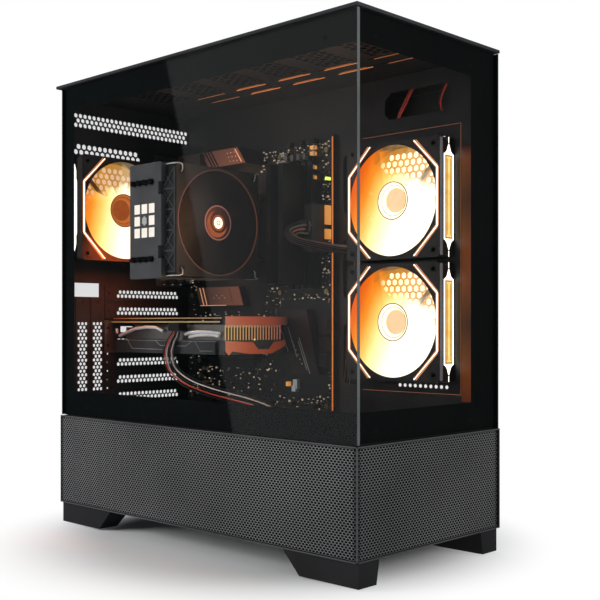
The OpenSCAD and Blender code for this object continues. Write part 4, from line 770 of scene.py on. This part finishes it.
for v, z, r, h, kind in can_rows:
    cans.disc(can_place, r, 0, h, kind, 24)
    cans.disc(can_place, r * 0.8, h, h + 0.25, 2, 24)
cans.make([M["silver"], M["gold"], M["grey_and_painted_highlight"]], "chassis", "port_metal")
chokes = Shape("board_chokes")
for k in range(6):
    chokes.box((BOARD_U - 7, 386, 322 + 15 * k), (BOARD_U, 366, 333 + 15 * k))
chokes.make([M["grey_and_painted_highlight"]], "chassis", "socket_plastic", bevel=0.8)
# The orange glow on these parts is painted fan light; the green part is an LED
lit_parts = Shape("board_lit_parts")
for z in (423.3, 416.7, 401.2, 390.1):
    lit_parts.box((171.5, 210.4, z - 1.9), (BOARD_U, 216.2, z + 1.9), 0)
    lit_parts.box((171.2, 209.8, z - 2.3), (172.5, 211.2, z + 2.3), 1)
lit_parts.box((170, 252.5, 396), (BOARD_U, 254.6, 406), 0)
for v, z in ((255.6, 386), (256.6, 370), (256.2, 344), (256.4, 330)):
    lit_parts.box((172, v, z), (BOARD_U, v + 1.2, z + 3.5), 0)
for z0, z1 in ((336, 357), (320, 331)):
    lit_parts.box((168, 188.8, z0), (BOARD_U, 190.8, z1), 0)
lit_parts.box((172, 250.4, 156.5), (BOARD_U, 254, 161.5), 0)
lit_parts.box((171.5, 236, 154), (BOARD_U, 242.5, 164.5), 2)
lit_parts.box((171, 238, 151), (BOARD_U, 244, 157), 2)
for v, z in ((240.8, 384.9), (240.8, 380), (190.8, 386.6)):
    lit_parts.box((170, v - 1, z - 1.5), (BOARD_U, v + 1, z + 1.5), 3)
lit_parts.make([M["painted_orange_part_light"], M["chip_pale"], M["white_print"], M["led_green"]],
               "chassis", "socket_plastic")

# Heat spreaders: brushed faces painted with the fans' light fading to shade towards the back, with plain
# diagonal stripes, some of them glowing as painted highlights
def slanted(shape, u, lo_v, hi_v, z0, z1, lean, kind, thick=0.25):
    """A thin plate facing the left pane, leaning back towards its top."""
    corners = ((lo_v, z0), (hi_v, z0), (hi_v + lean, z1), (lo_v + lean, z1))
    shape.prism([(u, v, z) for v, z in corners], [(u - thick, v, z) for v, z in corners], kind)


sinks = Shape("heatsink_faces")
slanted(sinks, 150.85, 298.5, 362.5, 413.5, 432.5, 13.6, 0)
for v in (344, 349, 354):
    slanted(sinks, 150.55, v, v + 2.2, 413.5, 432.5, 13.6, 1)
slanted(sinks, 150.55, 304, 305.6, 415, 431, 11.4, 2)
for k in range(9):
    v = 312 + (k % 3) * 6 + (k // 3) * 2.5
    z = 417 + (k // 3) * 5
    sinks.box((150.3, v, z), (150.6, v + 0.9, z + 0.9), 4)
slanted(sinks, 167.85, 320.5, 397.5, 249.4, 271.6, 8, 0)
for v in (384, 390):
    slanted(sinks, 167.55, v, v + 1.4, 249.6, 271.4, 7.8, 2)
slanted(sinks, 167.5, 350, 397, 249.2, 250, 0.3, 2)
slanted(sinks, 167.85, 338, 339, 252, 270, 6.5, 1)
for k in range(5):
    sinks.box((167.3, 352 + k * 5, 258 + (k % 2) * 3), (167.6, 352.9 + k * 5, 258.9 + (k % 2) * 3), 4)
for v, z0, z1 in ((212, 172, 212), (216.5, 176, 208), (232, 190, 224), (246, 196, 218)):
    lean = (z1 - z0) * 0.42
    slanted(sinks, 167.85, v, v + 0.9, z0, z1, lean, 3)
for k in range(6):
    sinks.box((167.5, 224 + k * 3.1, 182 + k * 5), (167.8, 225.2 + k * 3.1, 183.4 + k * 5), 4)
sinks.make([M["painted_sink_light"], M["border_black"], M["painted_stripe_highlight"], M["chip_pale"], M["white_print"]],
           "chassis", "heatsink_metal")

# Graphics card: front end, fin edges, board edge and a side strip painted with the fans' light fading to
# shade, yellow marks of painted highlight, pipes, and grey strips of painted highlight on the facets of
# the shroud
CARD_END = (239.9, 240.05)
end = Shape("card_end")


def end_plate(outline, kind):
    """A thin plate on the card's front end, from its outline in u and z."""
    end.prism([(u, CARD_END[1], z) for u, z in outline], [(u, CARD_END[0], z) for u, z in outline], kind)


end_plate([(66.9, 226), (158, 226), (160.8, 230), (158, 235.2), (66.9, 235.2)], 0)
end_plate([(67, 209.2), (67, 198), (71.9, 193.6), (76.9, 198), (102.9, 194.6), (134.9, 194.6),
           (156.7, 202.6), (156.7, 209.2), (138.6, 207.2), (130.9, 199.5), (114.9, 199.5),
           (107.2, 207.2)], 1)
# Two yellow glowing marks on the end: painted highlights
for u, tall in ((112, 11), (119, 8)):
    end.box((u, 243, 200), (u + 1.6, 244, 200 + tall), 3)
for k in range(20):
    u = 69.9 + 4.3 * k
    end.box((u - 0.35, 243.6, 209.8), (u + 1.35, 244, 225.8), 2)
end.make([M["painted_card_band_light"], M["painted_card_low_light"], M["painted_card_fin_light"], M["yellow_glow"]], "chassis", "card_plastic")
side = Shape("card_side")
side.box((64.6, 246.2, 228.6), (64.85, 438.8, 230.2), 0)
side.box((64.5, 243.2, 232.8), (64.85, 434.8, 234.1), 1)
for path in ([(66, 424, 213), (65, 410, 217), (64.5, 392, 221.5), (64.5, 370, 223.5), (65, 354, 223),
              (67, 344, 219)],
             [(66, 304, 216), (65, 296, 217.4), (64.5, 280, 218.6), (65, 262, 218.4), (67, 248, 217)],
             [(67, 298, 213), (65.6, 284, 214.6), (66, 264, 215.4), (67.5, 250, 214)]):
    side.tube(path, 1.9, 2, 10)
for v in (427, 428.6):
    side.box((64, v, 216), (66, v + 1, 222), 3)
# Grey strips along the shroud's lower edge and facets: painted highlights
side.box((62.4, 250, 208.2), (62.86, 414, 208.8), 4)
for v0, z0, v1, z1 in ((404, 208, 396, 199), (396, 199, 340, 198.5), (352, 208, 344, 203),
                       (344, 203, 300, 203), (300, 203, 290, 208), (284, 208, 276, 198),
                       (276, 198, 256, 198)):
    side.tube([(62.7, v0, z0), (62.7, v1, z1)], 0.45, 4, 6)
side.make([M["painted_card_pcb_light"], M["painted_card_strip_light"], M["silver"], M["white_print"], M["grey_and_painted_highlight"]],
          "chassis", "card_plastic")


# Leads: real wires in place of each plain tube
def sweep(points, steps=4):
    """A smooth curve through the points."""
    pts = [Vector(p) for p in points]
    out = []
    for i in range(len(pts) - 1):
        a, b = pts[max(i - 1, 0)], pts[i]
        c, d = pts[i + 1], pts[min(i + 2, len(pts) - 1)]
        for k in range(steps):
            t = k / steps
            out.append(0.5 * (2 * b + (c - a) * t + (2 * a - 5 * b + 4 * c - d) * t * t
                              + (3 * b - a - 3 * c + d) * t * t * t))
    out.append(pts[-1])
    return out


def wire_bundle(name, node, route, offsets, kinds, radius, mats, twist=0.0, squeeze=None):
    """Wires side by side along a route; squeeze narrows the bundle along it."""
    centre = sweep(route)
    count = len(centre)
    side = Vector((1, 0, 0))
    frames = []
    for i, p in enumerate(centre):
        ahead = (centre[min(i + 1, count - 1)] - centre[max(i - 1, 0)]).normalized()
        side = (side - ahead * side.dot(ahead)).normalized()
        frames.append((p, side.copy(), ahead.cross(side)))
    shape = Shape(name)
    for (x, y), kind in zip(offsets, kinds):
        path = []
        for i, (p, a, b) in enumerate(frames):
            share = i / (count - 1)
            turn = twist * share
            wide = squeeze(share) if squeeze else 1.0
            rx = (x * math.cos(turn) - y * math.sin(turn)) * wide
            ry = (x * math.sin(turn) + y * math.cos(turn)) * wide
            path.append(p + a * rx + b * ry)
        shape.tube(path, radius, kind, 8)
    obj = shape.make(mats, "chassis", "lead_sleeve", smooth=True)
    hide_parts(node)
    return obj


GPU_ROUTE = [
    (61, 314, 219.4), (60, 315, 214), (57, 317, 207), (55, 319, 194), (56, 313, 177), (59, 291, 164),
    (64, 262, 156), (70, 238, 151), (82, 216, 145), (97, 200, 136), (104, 194, 122),
    (103, 202, 106), (98, 222, 90), (91, 250, 79), (87, 275, 72), (86, 293, 70)]
wire_bundle("card_lead_wires", "gpu_power_cable", GPU_ROUTE,
            [(x, y) for y in (-1.2, 1.2) for x in (-3.6, -1.2, 1.2, 3.6)], (0, 2, 0, 1, 3, 0, 2, 0), 0.72,
            [M["wire_black"], M["grey_and_painted_highlight"], M["wire_pale"], M["wire_red"]], 1.1,
            lambda s: 1.0 + 0.7 * math.sin(math.pi * min(s * 1.4, 1)))
MAIN_ROUTE = [
    (149.9, 198, 332), (135.9, 199, 331), (130, 206, 326), (129, 198, 317), (141, 184, 312),
    (161, 169, 308), (185, 161, 306), (200, 167, 296), (201, 176, 260), (201, 180, 200),
    (201, 186, 140), (201, 200, 92), (195, 222, 74), (178, 240, 70), (158, 252, 68),
    (140, 262, 66), (128, 276, 65), (126, 293, 65)]
main_spots = [(2.35 * (c - 2.5), 2.35 * (r - 1.5)) for r in range(4) for c in range(6)]
wire_bundle("board_lead_wires", "main_power_cable", MAIN_ROUTE, main_spots, (0, 1, 0, 2) * 6, 0.85,
            [M["wire_black"], M["wire_copper"], M["grey_and_painted_highlight"]], 0.5,
            lambda s: 1.0 if s < 0.05 else 0.86)
combs = Shape("lead_combs")
combs.box((142, 189.5, 326), (144.5, 206.5, 338))
combs.make([M["wire_black"]], "chassis", "lead_sleeve", bevel=0.4)

# Roof slots, wall plate and strips, painted with the orange light of the fans
edges = Shape("lit_edges")
for u in (30, 112.5, 135):
    for k in range(6):
        v = 26 + 66 * k
        if v + 57 < 380:
            lit_end = 0 if u > 100 and k in (1, 2, 3) else 1
            edges.box((u + 1.75, v + 4, 485.8), (u + 2.3, v + 50, 486.5), lit_end)
            if lit_end == 0:
                edges.box((u - 2.3, v + 10, 485.8), (u - 1.9, v + 44, 486.3), 0)
edges.box((184.7, 23, 426.4), (WALL_FACE, 150, 426.7), 1)
edges.box((184.7, 23, 156.4), (WALL_FACE, 150, 156.8), 1)
edges.box((184.7, 22.9, 156.5), (WALL_FACE, 23.2, 426.5), 1)
edges.box((184.6, 9.5, 150), (WALL_FACE, 22, 404), 2)
edges.make([M["painted_orange_edge_light"], M["painted_dim_edge_light"], M["painted_wall_light_strips"]], "chassis", "chassis_steel")
dots = Shape("wall_dots")
for k in range(10):
    dots.disc(lambda a, b, d: (WALL_FACE - d, 40 + 6.6 * k + a, 163.6 + b), 2.0, 0, 0.1, 0, 6)
for k in range(9):
    dots.box((184.8, 42 + 5.2 * k, 414.6), (WALL_FACE, 45.4 + 5.2 * k, 416), 0)
dots.make([M["white_light"]], "chassis", "chassis_steel")

# Loose leads behind the wall's upper opening
leads = Shape("wall_leads")
for k, kind in ((0, 0), (1, 1), (2, 0), (3, 1)):
    leads.tube(sweep([(190 + k, 84 + 2 * k, 474), (189 + k, 89 + 2 * k, 466), (190, 96 + 1.5 * k, 456),
                      (191, 104 + k, 446), (193, 108, 438)]), 1.0, kind, 6)
for k in (0, 1):
    leads.tube(sweep([(190, 40 + 3 * k, 474), (190, 47 + 3 * k, 464), (191, 52 + 2 * k, 452),
                      (192, 50, 440)]), 0.9, k, 6)
leads.make([M["wire_red"], M["wire_black"]], "chassis", "lead_sleeve", smooth=True)


# Connectors at the back: tongues, contacts and coloured rings
PORT_FACE = REAR_V + 2.0
ports = Shape("rear_port_inserts")
for k, kind in ((0, 0), (1, 0), (4, 1), (5, 1)):
    for row in (0, 1):
        middle = BOARD_U - row * 14.5 - 6.75
        low = PORT_LOW[k]
        ports.box((middle - 4.6, PORT_FACE - 9, low + 3.2),
                  (middle + 4.6, PORT_FACE - 1.5, low + 5.2), kind)
        for contact in range(4):
            u = middle - 3.6 + 2.2 * contact
            ports.box((u, PORT_FACE - 8, low + 3.1), (u + 0.8, PORT_FACE - 1.4, low + 3.2), 3)
for k in range(3):
    for row in (0, 1):
        u = BOARD_U - 6 - 13 * k
        z = BOARD_Z[1] - 142.5 - row * 11.5
        ring_kind = 4 + (k + 2 * row) % 3
        ports.ring(lambda x, y, d: (u + x, PORT_FACE - 1 + d, z + y), 1.95, 3.9, 0, 0.25, ring_kind, 32)
ports.make([M["port_blue"], M["port_teal"], M["socket_plastic"], M["gold"], M["ring_green"],
            M["ring_rose"], M["port_blue"]], "chassis", "port_metal")


# ---- stage -------------------------------------------------------------------------------------
LAMP_SPREAD = math.radians(120)


def lamp(name, place, target, size, power, colour=(1, 1, 1), shape="RECTANGLE", seen=True):
    """An area light aimed at a target; seen says whether shiny surfaces mirror it."""
    light = bpy.data.lights.new(name, "AREA")
    light.shape = shape
    light.size = size[0]
    light.size_y = size[1]
    light.energy = power
    light.color = colour
    obj = bpy.data.objects.new(name, light)
    obj.location = place
    obj.rotation_euler = (Vector(target) - Vector(place)).to_track_quat("-Z", "Y").to_euler()
    if colour != (1, 1, 1):
        light.spread = LAMP_SPREAD
    obj.visible_camera = False
    obj.visible_glossy = seen
    bpy.context.collection.objects.link(obj)
    return obj


FLOOR = 6.0
floor_mesh = bpy.data.meshes.new("floor")
floor_mesh.from_pydata([(-FLOOR, -FLOOR, 0), (FLOOR, -FLOOR, 0), (FLOOR, FLOOR, 0), (-FLOOR, FLOOR, 0)],
                       [], [(0, 1, 2, 3)])
floor = bpy.data.objects.new("floor", floor_mesh)
floor.visible_glossy = False
bpy.context.collection.objects.link(floor)
floor_mat, floor_shader = new_material("floor")
floor_shader.inputs["Base Color"].default_value = (0.82, 0.82, 0.82, 1)
floor_shader.inputs["Roughness"].default_value = 0.28
place = add_node(floor_mat, "ShaderNodeTexCoord")
reach_node = add_node(floor_mat, "ShaderNodeVectorMath", operation="LENGTH")
link(floor_mat, place.outputs["Object"], reach_node.inputs[0])
fade = add_node(floor_mat, "ShaderNodeMapRange", interpolation_type="SMOOTHSTEP")
fade.inputs["From Min"].default_value = 0.16
fade.inputs["From Max"].default_value = 0.31
link(floor_mat, reach_node.outputs["Value"], fade.inputs["Value"])
plain = add_node(floor_mat, "ShaderNodeEmission", Strength=1.0)
blend = add_node(floor_mat, "ShaderNodeMixShader")
link(floor_mat, fade.outputs["Result"], blend.inputs[0])
link(floor_mat, floor_shader.outputs[0], blend.inputs[1])
link(floor_mat, plain.outputs[0], blend.inputs[2])
link(floor_mat, blend.outputs[0], floor_mat.node_tree.nodes["Material Output"].inputs["Surface"])
floor_mesh.materials.append(floor_mat)

world = bpy.data.worlds.new("studio")
bpy.context.scene.world = world
world.use_nodes = True
tree = world.node_tree
paths = tree.nodes.new("ShaderNodeLightPath")


def sky(colour, strength):
    node = tree.nodes.new("ShaderNodeBackground")
    node.inputs["Color"].default_value = (*colour, 1)
    node.inputs["Strength"].default_value = strength
    return node


def choose(ray, otherwise, chosen):
    """The chosen background where this kind of ray meets the sky, and the other one elsewhere."""
    node = tree.nodes.new("ShaderNodeMixShader")
    tree.links.new(paths.outputs[ray], node.inputs[0])
    tree.links.new(otherwise.outputs[0], node.inputs[1])
    tree.links.new(chosen.outputs[0], node.inputs[2])
    return node


seen_or_lit = choose("Is Camera Ray", sky((0.95, 0.97, 1.0), 0.35), sky((1, 1, 1), 1.0))
mirrored = choose("Is Glossy Ray", seen_or_lit, sky((0.8, 0.95, 1.0), 0.035))
tree.links.new(mirrored.outputs[0], tree.nodes["World Output"].inputs["Surface"])

lamp("key", (-1.25, 0.85, 0.5), (-0.1, 0.15, 0.08), (0.8, 0.8), 26, seen=False)
lamp("front_fill", (0.5, -1.7, 0.5), (0, -0.2, 0.06), (0.9, 0.7), 11)
lamp("back_fill", (0.9, 1.8, 1.2), (0, 0, 0.25), (1.4, 1.4), 16, seen=False)
WARM = (1.0, 0.5, 0.2)
for k, (v, z) in enumerate(SIDE_FANS):
    lamp("fan_light_%d" % k, at(156, v, z), at(0, v + 20, z), (0.1, 0.1), 0.85, WARM, "DISK", False)
    lamp("wall_light_%d" % k, at(178, v, z), at(190, v, z), (0.1, 0.1), 0.35, (1.0, 0.5, 0.15), "DISK",
         False)
lamp("rear_light", at(67, 410, 360), at(90, 300, 330), (0.1, 0.1), 0.8, WARM, "DISK", False)
lamp("rear_wall_light", at(50, 400, 330), at(45, 441, 265), (0.06, 0.06), 0.35, (1.0, 0.16, 0.04), "DISK",
     False)

# A slanted card of light, which the left pane mirrors as a lighter diagonal
CARD_PLACE = (-1.6, 1.149, 0.662)
card = lamp("window_card", CARD_PLACE, (0, 1.149, 0.662), (1.2, 3.0), 7.6)
card.matrix_world = Matrix(((0, 0, -1, CARD_PLACE[0]), (-0.965, 0.261, 0, CARD_PLACE[1]),
                            (0.261, 0.965, 0, CARD_PLACE[2]), (0, 0, 0, 1)))

camera = bpy.data.objects.new("camera", bpy.data.cameras.new("camera"))
camera.location = (-0.76958, -0.79426, 0.22714)
camera.rotation_euler = (math.radians(90), 0, math.radians(-46.204))
camera.data.lens = 61.74
camera.data.sensor_width = 36
camera.data.shift_y = 0.0399
bpy.context.collection.objects.link(camera)
bpy.context.scene.camera = camera
bpy.context.scene.view_settings.view_transform = "Standard"
